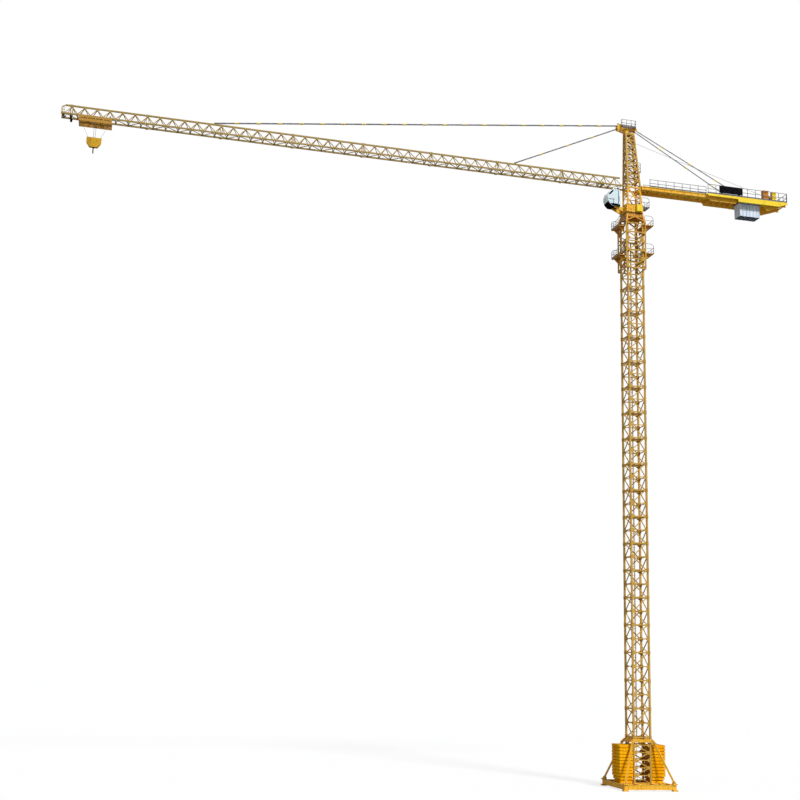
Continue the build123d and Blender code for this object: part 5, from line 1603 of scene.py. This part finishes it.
@dataclass
class Jib(Assembly):
    """The jib's node gussets, joint bolts, and the trolley's travel winch, ropes and pulleys."""

    first: float = 0.137
    bay: float = 0.1252
    bays: int = 48
    level: float = 6.433
    rise: float = 0.0048
    depth: float = 0.112
    foot: float = 0.054
    chord: float = 0.014
    upper: float = 0.015
    joint_start: float = 0.8256
    joint_step: float = 0.7512
    joints: int = 8

    def __post_init__(self) -> None:
        """Works out the reaches of the section joints and of the travel rope's pulleys."""
        self.reaches = self.joint_start + self.joint_step * np.arange(self.joints)
        self.far = self.first + self.bay * self.bays + 0.020

    def points(self, reaches: object, y: object = 0.0, height: float = 0.0) -> np.ndarray:
        """Points along the rising jib: the level grows with the reach."""
        reaches = np.atleast_1d(np.asarray(reaches, float))
        return stacked(-reaches, y, self.level + self.rise * reaches + height)

    def gussets(self) -> Shape:
        """Plates in both raking sides: on the lower chords at the frames, under the upper one between."""
        slope, outward = unit(np.array([(0.0, -self.foot, self.depth), (0.0, self.depth, self.foot)]))
        turn = stacked((1.0, 0.0, 0.0), slope, outward)
        frames, outline = self.first + self.bay * np.arange(self.bays + 1), trapezoid(0.026, 0.010, 0.013)
        low = self.points(frames, self.foot - 0.002, self.chord / 2 - 0.001) + outward * 0.0018
        high = self.points(frames[:-1] + self.bay / 2, 0.0065, self.depth - self.upper / 2) + outward * 0.0020
        rows = [drawn(outline * (1, sign), (0, 0, 0), Axis.Z, 0.0010).placed(at, turn[None])
                for sign, at in ((1, low), (-1, high))]
        return joined(*rows).mirrored()

    def joint_bolts(self) -> Shape:
        """Bolts of the section joints: on the sleeves' sides and the inner faces of the lower chords."""
        rows = (self.reaches[:, None] + (-0.0095, -0.0035, 0.0035, 0.0095)).ravel()
        return joined(bolts(self.points(rows, self.upper / 2 + 0.002, self.depth), (0, 1, 0), 0.0018),
                      bolts(self.points(rows, 0.0508), (0, -1, 0), 0.0018)).mirrored()

    def joint_plates(self) -> Shape:
        """Fishplates with cut corners on the inner faces of the lower chords at each section joint."""
        plate = drawn(rounded(rectangle(0.011, 0.030), 0.003, 2), (0, -0.0006, 0), Axis.Y, 0.0016)
        return joined(*[plate.placed(self.points(self.reaches, y)) for y in (-0.0512, 0.0512)])

    def travel_winch(self) -> Shape:
        """The trolley's travel winch on the root bay's floor: a grooved drum between two cheeks."""
        drum = [(0.0100 + 0.0006 * (k % 2), y) for k, y in enumerate(np.linspace(-0.016, 0.016, 17))]
        x, z = -0.345, self.level + self.rise * 0.345 + 0.026
        drum = [(0.0145, -0.019), (0.0145, -0.017), *drum, (0.0145, 0.017), (0.0145, 0.019)]
        motor = [(0.009, 0.020), (0.0105, 0.022), (0.0105, 0.036), (0.008, 0.038)]
        outline = np.array([(-0.022, -0.012), (-0.022, 0.012), (0.006, 0.006), (0.006, -0.006)])
        cheek = drawn(outline, (x, 0, z), Axis.Y, 0.0020)
        bed = block((x - 0.016, -0.044, z - 0.0222), (x + 0.016, 0.044, z - 0.0195))
        return joined(lathed(drum, (x, 0, z), Axis.Y, 24), lathed(motor, (x, 0, z), Axis.Y, 20),
                      cheek.placed(stacked(0, (-0.0215, 0.0195), 0)), bed)

    def travel_ropes(self) -> Shape:
        """The trolley's travel rope: two straight runs inside the chords, from the winch to the nose."""
        sides = (-0.011, 0.011)
        return rods(self.points(0.345, sides, 0.013), self.points(self.far, sides, 0.013), 0.0007, 6)

    def nose_gear(self) -> Shape:
        """The travel rope's return pulleys at the nose, on their pins."""
        return sheave(self.points(self.far, (-0.011, 0.011), 0.0045), 0.0085, 0.005, 0.0022, 0.0045)

    def pieces(self) -> dict[str, tuple]:
        """The jib's pieces."""
        return {"jib_gussets": (self.gussets(), Finish.OLIVE),
                "jib_joint_plates": (self.joint_plates(), Finish.OLIVE),
                "jib_bolts": (self.joint_bolts(), Finish.ZINC),
                "travel_winch": (self.travel_winch(), Finish.OLIVE),
                "travel_ropes": (self.travel_ropes(), Finish.ROPE),
                "nose_pulleys": (self.nose_gear(), Finish.RING)}


@dataclass
class Ties(Assembly):
    """The pins and side plates of the links along the ties: each tie's x and z at its start and
    its foot, how far from the middle it starts and ends, and its number of links."""

    pin: float = 0.0053
    ties: tuple[tuple[Pair, Pair, Pair, int], ...] = (
        ((-0.156, 7.1743), (-4.650, 6.58312), (0.006, 0.006), 19),
        ((-0.156, 7.1383), (-1.375, 6.5674), (0.006, 0.006), 3),
        ((0.055, 7.1383), (1.336, 6.4623), (0.0175, 0.080), 3))

    def pieces(self) -> dict[str, tuple]:
        """The link pins and plates of every tie, evenly shared out along it."""
        heads, plates = [], []
        for (x0, z0), (x1, z1), (y0, y1), count in self.ties:
            first, last = np.array([(x0, y0, z0), (x1, y1, z1)])
            along = unit(last - first)
            first = first + along * self.pin
            middles = first + (last - first) * np.arange(1, count + 1)[:, None] / (count + 1)
            for face in (-1, 1):
                spots = np.concatenate([middles - along * 0.008, middles + along * 0.008])
                heads.append(bolts(spots + (0, face * 0.0050, 0), (0, face, 0), 0.0021))
                edge = middles + (0, face * 0.0030, 0)
                plates.append(bars(edge - along * 0.022, edge + along * 0.022,
                                   rounded(rectangle(0.0040, 0.0110), 0.0010, 2)))
        return {"link_pins": (joined(*heads).mirrored(), Finish.ZINC),
                "link_plates": (joined(*plates).mirrored(), Finish.BRIGHT)}


@dataclass
class Counter(Assembly):
    """The counter-jib: gratings, tubular rails, ribs, the winch's drum and motor, eyes and the board."""

    root: float = 0.092
    end: float = 1.882
    beam_y: float = 0.080
    beam: Pair = (6.408, 6.446)
    deck: float = 6.4493
    platform: float = 0.885
    half_platform: float = 0.118
    walk_start: float = 0.190
    rail: float = 0.006
    rail_heights: Pair = (0.092, 0.112)
    drum: Pair = (1.670, 6.5116)
    drum_radius: float = 0.028
    drum_half: float = 0.039
    rope: float = 0.0012
    board: tuple[float, float, float, float] = (1.026, 1.314, 6.4693, 6.5513)
    board_face: float = 0.1233
    weights: tuple[float, float, int] = (1.308, 0.042, 6)
    keel: Point = (0.905, 1.262, 0.030)
    side_plate: Point = (1.262, 1.770, 6.388)

    def gratings(self) -> Shape:
        """Gratings over the walkway and the platform, clear of the winch's bed."""
        floors = ((self.root + 0.004, self.platform - 0.004, 0.084), (self.platform + 0.004, 1.600, 0.108),
                  (1.768, self.end - 0.006, 0.108))
        return joined(*[grate((x0, -half, self.deck - 0.0005), (x1, half, self.deck + 0.0014), 0.010)
                        for x0, x1, half in floors])

    def railings(self) -> Shape:
        """The walkway's two railings, then the railings round the platform."""
        base, (low, high), bar, half = self.deck + 0.0003, self.rail_heights, self.rail, self.half_platform
        y, edge, far = self.beam_y, half - bar / 2, self.end - bar / 2
        sides = [rail_run((self.walk_start, y, base), (self.platform - 0.0003, y, base), low, 8, bar),
                 rail_run((self.platform, edge, base), (self.end - bar, edge, base), high, 11, bar)]
        return joined(joined(*sides).mirrored(),
                      rail_run((far, -half, base), (far, half, base), high, 4, bar))

    def ribs(self) -> Shape:
        """Web stiffeners along both beams on both sides, and ribs along the platform's edge plates."""
        low, high = self.beam
        feet = grid(np.linspace(self.root + 0.04, self.end - 0.30, 19),
                    (self.beam_y - 0.0039, self.beam_y + 0.0039), (low + 0.003,))
        edges = grid(np.linspace(self.platform + 0.02, self.end - 0.02, 14), (self.half_platform - 0.0040,),
                     (self.deck - 0.0265,))
        return joined(bars(feet, feet + (0, 0, high - low - 0.006), rectangle(0.0018, 0.0050)),
                      bars(edges, edges + (0, 0, 0.024), rectangle(0.0016, 0.0030))).mirrored()

    def keels(self) -> Shape:
        """The deepening beams under the platform's front: tapered plates with flanges, and ties."""
        (x0, x1, drop), low, y = self.keel, self.beam[0], -self.beam_y
        outline = np.array([(low, x0), (low, x1), (low - drop, x1 - 0.012), (low - drop, x0 + 0.022)])
        plate = drawn(outline, (0, y - 0.0045, 0), Axis.Y, 0.009)
        flange = bars((x0 + 0.018, y, low - drop), (x1 - 0.010, y, low - drop), rectangle(0.014, 0.0026))
        ties = grid(np.linspace(x0 + 0.04, x1 - 0.03, 5), (y,), (low - drop / 2,))
        return joined(joined(plate, flange).mirrored(),
                      bars(ties, ties * (1, -1, 1), rectangle(0.006, 0.006)))

    def side_plates(self) -> Shape:
        """The deep side plates under the platform's rear, cut away towards its end, with a flange."""
        (x0, x1, low), end, y = self.side_plate, self.end - 0.004, self.half_platform
        high = self.deck
        outline = np.array([(high, x0), (high, end), (high - 0.020, end), (low, x1), (low, x0)])
        flange = bars((x0, y - 0.0042, low + 0.0015), (x1, y - 0.0042, low + 0.0015), rectangle(0.008, 0.003))
        return joined(drawn(outline, (0, y - 0.0032, 0), Axis.Y, 0.003), flange).mirrored()

    def drum_rope(self) -> Shape:
        """The rope wound on the drum: the radius follows a half circle for every turn of rope."""
        turns = round(self.drum_half / self.rope)
        t = np.linspace(0, turns, 4 * turns + 1)
        heights = t * 2 * self.rope - self.drum_half
        radii = self.drum_radius + 0.0006 + 2 * self.rope * np.abs(np.sin(pi * t))
        ends = stacked(self.drum_radius - 0.002, heights[[0, -1]])
        profile = np.concatenate([ends[:1], stacked(radii, heights), ends[1:]])
        return lathed(profile, (self.drum[0], 0, self.drum[1]), Axis.Y, 36)

    def winch_gear(self) -> Shape:
        """The winch's brake disc, gear case and finned motor end, all turned round level axes."""
        x, z = self.drum
        case = [(0.0240, 0.0605), (0.0260, 0.0625), (0.0260, 0.0700), (0.0180, 0.0740), (0.0080, 0.0750)]
        near = [(0.0170, -0.0605), (0.0190, -0.0620), (0.0190, -0.0680), (0.0100, -0.0700)]
        fins = [(0.0165 + 0.0030 * (k % 2), 0.046 + 0.0016 * k) for k in range(11)]
        motor = [(0.012, 0.044), *fins, (0.0140, 0.0635), (0.0080, 0.0655)]
        return joined(lathed(case, (x, 0, z), Axis.Y, 28), lathed(near, (x, 0, z), Axis.Y, 28),
                      lathed(motor, (x + 0.065, 0, z - 0.012), Axis.Y, 24))

    def winch_trim(self) -> Shape:
        """Bolts of the winch's bed and stands, and the rims of its flanges."""
        (x, z), ring = self.drum, circle(0.011, 8)
        spots = stacked(ring[:, 0] + x, 0.0572, ring[:, 1] + z - 0.032)
        rim = [(0.0340, 0.0392), (0.0382, 0.0392), (0.0382, 0.0448), (0.0340, 0.0448)]
        bed = grid((x - 0.050, x + 0.080), (0.02, 0.055), (self.deck + 0.0103,))
        return joined(bolts(bed, (0, 0, 1), 0.0024), bolts(spots, (0, 1, 0), 0.0015),
                      lathed(rim, (x, 0, z), Axis.Y, 40, True)).mirrored()

    def board_frame(self) -> Shape:
        """The board's edge frame and the straps that hang it on the near rail."""
        x0, x1, z0, z1 = self.board
        y, middle = -self.board_face + 0.0008, (x0 + x1) / 2
        path = bent([(middle, y, z0), (x0, y, z0), (x0, y, z1), (x1, y, z1), (x1, y, z0),
                     (middle + 0.001, y, z0)], 0.003, 4)
        spots = grid(np.linspace(x0 + 0.03, x1 - 0.03, 4), (-self.half_platform + 0.0006,), (z0 + 0.004,))
        return joined(swept(path, rectangle(0.0026, 0.0030), (0, 1, 0), True),
                      bars(spots, spots + (0, 0, z1 - z0 - 0.008), rectangle(0.005, 0.0014)))

    def cabinet(self, x0: float, x1: float, high: float, y: float = -0.082) -> Shape:
        """A control cabinet on the platform: a rounded case, a roof, two doors and rows of louvres.

        Args:
            x0: its first end.
            x1: its other end.
            high: its height.
            y: its middle across the platform.

        Returns:
            The cabinet.
        """
        middle, wide, deep, z = (x0 + x1) / 2, x1 - x0, 0.046, self.deck + 0.0014
        roof = rounded(rectangle(wide + 0.006, deep + 0.006), 0.005, 4)
        parts = [drawn(rounded(rectangle(wide, deep), 0.004, 4), (middle, y, z), Axis.Z, high),
                 drawn(roof, (middle, y, z + high), Axis.Z, 0.003)]
        door = rounded(rectangle(high - 0.012, wide / 2 - 0.005), 0.002, 3)
        doors = drawn(door, (0, -0.0008, 0), Axis.Y, 0.0016)
        for side in (-1, 1):
            face = y + side * deep / 2
            slots = grid((x0 + 0.012,), (face + side * 0.0012,), z + high - 0.018 - 0.004 * np.arange(5))
            parts += [doors.placed(grid((middle - wide / 4, middle + wide / 4), (face,), (z + high / 2,))),
                      bars(slots, slots * (0, 1, 1) + (x1 - 0.012, 0, 0), rectangle(0.0016, 0.0018))]
        return joined(*parts)

    def weight_gear(self) -> Shape:
        """Two lifting eyes and a hanger bar on every slab."""
        start, pitch, count = self.weights
        places = start + 0.019 + pitch * np.arange(count)
        feet = grid(places, (-self.beam_y + 0.007,), (self.beam[0] + 0.004,))
        return joined(eyes(grid(places, (-0.036, 0.036), (self.beam[0] - 0.0008,)), 0.006),
                      bars(feet, feet * (1, -1, 1), rounded(rectangle(0.008, 0.006), 0.002, 3)))

    def pieces(self) -> dict[str, tuple]:
        """The counter-jib's pieces."""
        return {"counter_gratings": (self.gratings(), Finish.GALVANISED),
                "counter_railings": (self.railings(), Finish.GALVANISED, "counter_rails"),
                "counter_ribs": (self.ribs(), Finish.YELLOW), "counter_keels": (self.keels(), Finish.YELLOW),
                "counter_side_plates": (self.side_plates(), Finish.BRIGHT),
                "drum_rope": (self.drum_rope(), Finish.ROPE),
                "winch_gear": (self.winch_gear(), Finish.GALVANISED),
                "winch_trim": (self.winch_trim(), Finish.ORANGE),
                "board_frame": (self.board_frame(), Finish.BLACK),
                "weight_gear": (self.weight_gear(), Finish.ZINC),
                "winch_cabinet": (self.cabinet(1.585, 1.655, 0.118), Finish.ORANGE),
                "drive_cabinet": (self.cabinet(1.700, 1.750, 0.112), Finish.BRIGHT)}


@dataclass
class Ropes(Assembly):
    """The hoist rope over its pulleys, and the four falls down to the hook block."""

    radius: float = 0.0015
    reach: float = 0.0185
    head: Pair = (0.005, 6.985)
    drum: Pair = (1.670, 6.5116)
    drum_reach: float = 0.0295
    root: Pair = (-0.032, 6.43545)
    tip: Pair = (-6.1689, 6.44641)
    place: float = -5.843
    falls: tuple[Pair, ...] = ((-0.14126, -0.059), (-0.0105, -0.008), (0.0105, 0.008), (0.14126, 0.059))
    fall_levels: Pair = (6.42635, 6.25735)

    def hoist(self) -> Shape:
        """The rope from the drum over the head pulley, down round the root pulley and out to the nose:
        on a pulley its points are the centre plus the reach times cosine and sine."""
        head, drum, root = np.array([self.head, self.drum, self.root])
        along = unit(drum - head)
        lift = np.array([-along[1], along[0]])
        turns = ((head, float(np.arctan2(lift[1], lift[0])), pi), (root, 0.0, -pi / 2))
        arcs = [centre + self.reach * stacked(np.cos(angles), np.sin(angles))
                for centre, first, last in turns for angles in (np.linspace(first, last, 13),)]
        line = np.concatenate([[drum + lift * self.drum_reach], *arcs, [self.tip]])
        return swept(stacked(line[:, 0], 0, line[:, 1]), circle(self.radius, 8), (0, 1, 0))

    def pieces(self) -> dict[str, tuple]:
        """The hoist rope."""
        return {"hoist_line": (self.hoist(), Finish.ROPE, "hoist_rope")}

    def build(self) -> None:
        """Builds the hoist rope, then each fall as a tube of two rings on no body."""
        super().build()
        high, low = self.fall_levels
        for number, (top, foot) in enumerate(self.falls, start=1):
            tube = bars((self.place - top, 0, high), (self.place - foot, 0, low), circle(self.radius, 8),
                        (0, 1, 0))
            tube.points[:8, 2], tube.points[8:, 2] = high, low
            fall = put(f"hook_fall_{number}", tube, None, Finish.ROPE)
            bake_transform(fall)
            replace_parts(fall, "hook_falls")


@dataclass
class Trolley(Assembly):
    """The trolley's grooved sheaves, its wheels with hubs, and the bolts and ribs of its sides."""

    body = "trolley"
    place: float = 5.843
    half: float = 0.1625
    face: float = 0.0725
    plate: float = 0.005
    drop: float = 0.064
    wheels: Pair = (-0.1425, 0.1425)
    wheel_y: float = 0.0625
    wheel_level: float = 0.0163
    sheave_offsets: tuple[float, ...] = (-0.1205, -0.029, 0.029, 0.1205)
    sheave_level: float = -0.0347
    level: float = 6.433
    rise: float = 0.0048

    def points(self, offsets: object, y: float, height: float) -> np.ndarray:
        """Points at offsets from the trolley's middle and a height over the chords."""
        reach = self.place + np.atleast_1d(offsets)
        return stacked(-reach, y, self.level + self.rise * reach + height)

    def sheaves(self) -> Shape:
        """The four rope sheaves and the four running wheels with their axles."""
        profile = [(0.003, 0.0070), (0.003, 0.0042), (0.0045, 0.0042), (0.0054, 0.0026), (0.0081, 0.0034),
                   (0.009, 0.0028), (0.009, -0.0028), (0.0081, -0.0034), (0.0036, -0.0034)]
        wheel = lathed(profile, (0, 0, 0), Axis.Y, 24)
        wheels = self.points(self.wheels, self.wheel_y, self.wheel_level)
        pulleys = sheave(self.points(self.sheave_offsets, 0, self.sheave_level), 0.017, 0.008, 0.005, 0.0062)
        return joined(pulleys, wheel.placed(wheels).mirrored())

    def side_trim(self) -> Shape:
        """Flanges along the foot of each side, ribs, panels behind the windows and axle bosses."""
        y, inner = self.face + self.plate / 2, self.face - self.plate / 2 - 0.0006
        ends = self.points((-self.half, self.half), y - 0.0005, 0.0016 - self.drop)
        feet = self.points(np.linspace(-0.1555, 0.1555, 5), y - 0.0005, 0.003 - self.drop)
        panel = self.points((0.006 - self.half, self.half - 0.006), inner, -0.0345)
        axles = self.points(self.wheels, y, self.wheel_level)
        return joined(bars(ends[:1], ends[1:], rectangle(0.005, 0.0032)),
                      bars(feet, feet + (0, 0, self.drop - 0.011), rectangle(0.0040, 0.0030)),
                      bars(panel[:1], panel[1:], rectangle(0.0012, 0.024)),
                      bolts(axles, (0, 1, 0), 0.0030)).mirrored()

    def pieces(self) -> dict[str, tuple]:
        """The trolley's pieces."""
        return {"trolley_sheaves": (self.sheaves(), Finish.RING, "trolley_wheels"),
                "trolley_trim": (self.side_trim(), Finish.TROLLEY)}


@dataclass
class Hook(Assembly):
    """The hook block's pins and covers, and the forged hook with its nut and collar."""

    place: float = -5.843
    top: float = 6.25705
    height: float = 0.102
    half_depth: float = 0.017
    sheave_x: float = 0.0335
    bowl: float = 0.02046
    bar: float = 0.012
    hook_height: float = 0.066

    def block_pins(self) -> Shape:
        """Pin caps, keeper bolts and edge bolts on both cheeks."""
        y, z, ring, parts = self.half_depth, self.top - 0.0265, circle(0.0125, 6), []
        cap = [(0.0085, y - 0.001), (0.0085, y + 0.0016), (0.0070, y + 0.0026)]
        for x in (self.place - self.sheave_x, self.place + self.sheave_x):
            parts += [lathed(cap, (x, 0, z), Axis.Y, 20),
                      bolts(stacked(ring[:, 0] + x, y, ring[:, 1] + z), (0, 1, 0), 0.0014)]
        rows = np.array([(-0.066, -0.010), (-0.066, -0.045), (0.066, -0.010), (0.066, -0.045),
                         (-0.040, -0.082), (0.040, -0.082), (0.0, -0.010), (0.0, -0.060), (-0.012, -0.094),
                         (0.012, -0.094)])
        edge = bolts(stacked(rows[:, 0] + self.place, y, rows[:, 1] + self.top), (0, 1, 0), 0.0019)
        return joined(*parts, edge).mirrored()

    def forging(self) -> Shape:
        """The hook: a section carried down the shank and round three quarters of the bowl. Its
        radius swells by a sine from the shank to the bowl's foot and thins by a power to the tip."""
        top, half = self.top - self.height - 0.0003, self.bar / 2
        centre = top - self.hook_height + self.bowl + half
        shank = stacked(0, np.linspace(top, centre + self.bowl + 0.006, 4))
        angles, share = np.linspace(pi * 0.60, tau + 0.16, 40), np.linspace(0, 1, 40)
        line = stacked(self.bowl * np.cos(angles), centre + self.bowl * np.sin(angles))
        path = np.concatenate([shank, [(-0.0012, centre + self.bowl + 0.0020)], line])
        swell, thin = np.sin(pi * np.minimum(share * 1.45, 1.0)), np.maximum(share - 0.6, 0) ** 1.2
        radii = half * np.concatenate([np.full(5, 0.9), 0.86 + 0.135 * swell - 0.40 * thin])
        points = stacked(self.place, path[:, 0], path[:, 1])
        tube = swept(points, circle(1.0, 14), (1, 0, 0))
        spread = tube.points.reshape(len(points), 14, 3) - points[:, None]
        return Shape((points[:, None] + spread * radii[:, None, None]).reshape(-1, 3), tube.faces)

    def nut(self) -> Shape:
        """The collar and the nut at the shank's top, turned round the upright axis."""
        profile = [(0.0066, -0.010), (0.0090, -0.0085), (0.0090, -0.0040), (0.0100, -0.0035),
                   (0.0100, -0.0006)]
        return lathed(profile, (self.place, 0, self.top - self.height), Axis.Z, 20)

    def build(self) -> None:
        """Puts the pins on the block, and the hook and its collar on the hook's own body."""
        put("block_pins", self.block_pins(), "hook_block", Finish.BLOCK)
        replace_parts(put("hook_forging", self.forging(), "hook", Finish.HOOK, 60.0), "hook")
        put("hook_collar", self.nut(), "hook", Finish.HOOK)


@dataclass
class Studio:
    """The camera of the photograph's view, the lights, the white ground and the sky."""

    place: Point = (-5.299, -11.579, 1.238)
    yaw: float = -0.2297
    pitch: float = 0.2126
    roll: float = 0.0295
    lens: float = 53.28
    suns: tuple[tuple[str, float, float, float, float], ...] = (
        ("sun", 3.5, 12.0, 42.0, 24.0), ("fill", 0.15, 40.0, 62.0, -70.0))
    sky: float = 0.24
    half_floor: float = 60.0
    floor_glow: float = 0.8

    def camera(self) -> None:
        """The camera: its forward axis from yaw and pitch, its side and up axes turned by the roll."""
        right = np.array([cos(self.yaw), sin(self.yaw), 0.0])
        ahead = np.array([-sin(self.yaw), cos(self.yaw), 0.0])
        forward = ahead * cos(self.pitch) + np.array([0, 0, sin(self.pitch)])
        up = -ahead * sin(self.pitch) + np.array([0, 0, cos(self.pitch)])
        side = right * cos(self.roll) + up * sin(self.roll)
        top = -right * sin(self.roll) + up * cos(self.roll)
        lens = bpy.data.cameras.new("camera")
        lens.lens, lens.clip_end = self.lens, 400.0
        camera = bpy.data.objects.new("camera", lens)
        bpy.context.scene.collection.objects.link(camera)
        turn = Matrix(stacked(side, top, -forward).tolist()).to_4x4()
        camera.matrix_world = Matrix.Translation(self.place) @ turn
        bpy.context.scene.camera = camera

    def lights(self) -> None:
        """One broad sun from the front right and a weak one from the left."""
        for name, strength, angle, lean, turn in self.suns:
            lamp = bpy.data.lights.new(name, "SUN")
            lamp.energy, lamp.angle = strength, radians(angle)
            sun = bpy.data.objects.new(name, lamp)
            sun.rotation_euler = (radians(lean), 0.0, radians(turn))
            bpy.context.scene.collection.objects.link(sun)

    @staticmethod
    def seen(tree: Tree) -> Value:
        """1 for a camera, glossy or transmission ray and 0 for the rest.

        Args:
            tree: the tree that needs it.

        Returns:
            The value.
        """
        path = tree.node("ShaderNodeLightPath").outputs
        total = path["Is Camera Ray"]
        for name in ("Is Glossy Ray", "Is Transmission Ray"):
            total = tree.value("ShaderNodeMath", {"operation": "ADD", "use_clamp": True},
                               {0: total, 1: path[name]})
        return total

    def sky_dome(self) -> None:
        """A white background for the camera and a softer light for the object."""
        bpy.context.scene.world = bpy.data.worlds.new("sky")
        tree = Tree(bpy.context.scene.world)
        light = tree.node("ShaderNodeBackground", {}, {0: (0.95, 0.98, 1.0, 1.0), 1: self.sky})
        white = tree.node("ShaderNodeBackground", {}, {0: (1.0, 1.0, 1.0, 1.0), 1: 1.0})
        tree.blended(self.seen(tree), light, white, "ShaderNodeOutputWorld")

    def ground(self) -> None:
        """A pale floor that shows nearly white to the camera and keeps the crane's shadow."""
        mesh, half = bpy.data.meshes.new("floor"), self.half_floor
        corners = [(x, y, -0.0005) for x, y in rectangle(2 * half, 2 * half).tolist()]
        mesh.from_pydata(corners, [], [(0, 1, 2, 3)])
        floor = bpy.data.objects.new("floor", mesh)
        bpy.context.scene.collection.objects.link(floor)
        mesh.materials.append(bpy.data.materials.new("pale_floor"))
        tree = Tree(mesh.materials[0])
        seen = self.seen(tree)
        shade = tree.mixed(seen, (0.4, 0.4, 0.4), (0.9, 0.9, 0.9))
        plain = tree.node("ShaderNodeBsdfDiffuse", {}, {0: shade})
        glow = tree.node("ShaderNodeEmission", {}, {0: (1.0, 1.0, 1.0, 1.0), 1: 1.0})
        tree.blended(seen * self.floor_glow, plain, glow, "ShaderNodeOutputMaterial")

    def build(self) -> None:
        """Sets up the whole studio."""
        self.camera()
        self.lights()
        self.sky_dome()
        self.ground()
        bpy.context.scene.view_settings.view_transform = "Standard"


def main() -> None:
    """Builds the studio, the structure and each sub-assembly in order."""
    logging.basicConfig(level=logging.INFO, format="%(message)s")
    for part in (Studio(), Structure(), Base(), Mast(), Cage(), Support(), Slewing(), Cab(), Head(), Jib(),
                 Ties(), Counter(), Ropes(), Trolley(), Hook()):
        part.build()
        log.info("%s is done", type(part).__name__)


if __name__ == "__main__":
    main()
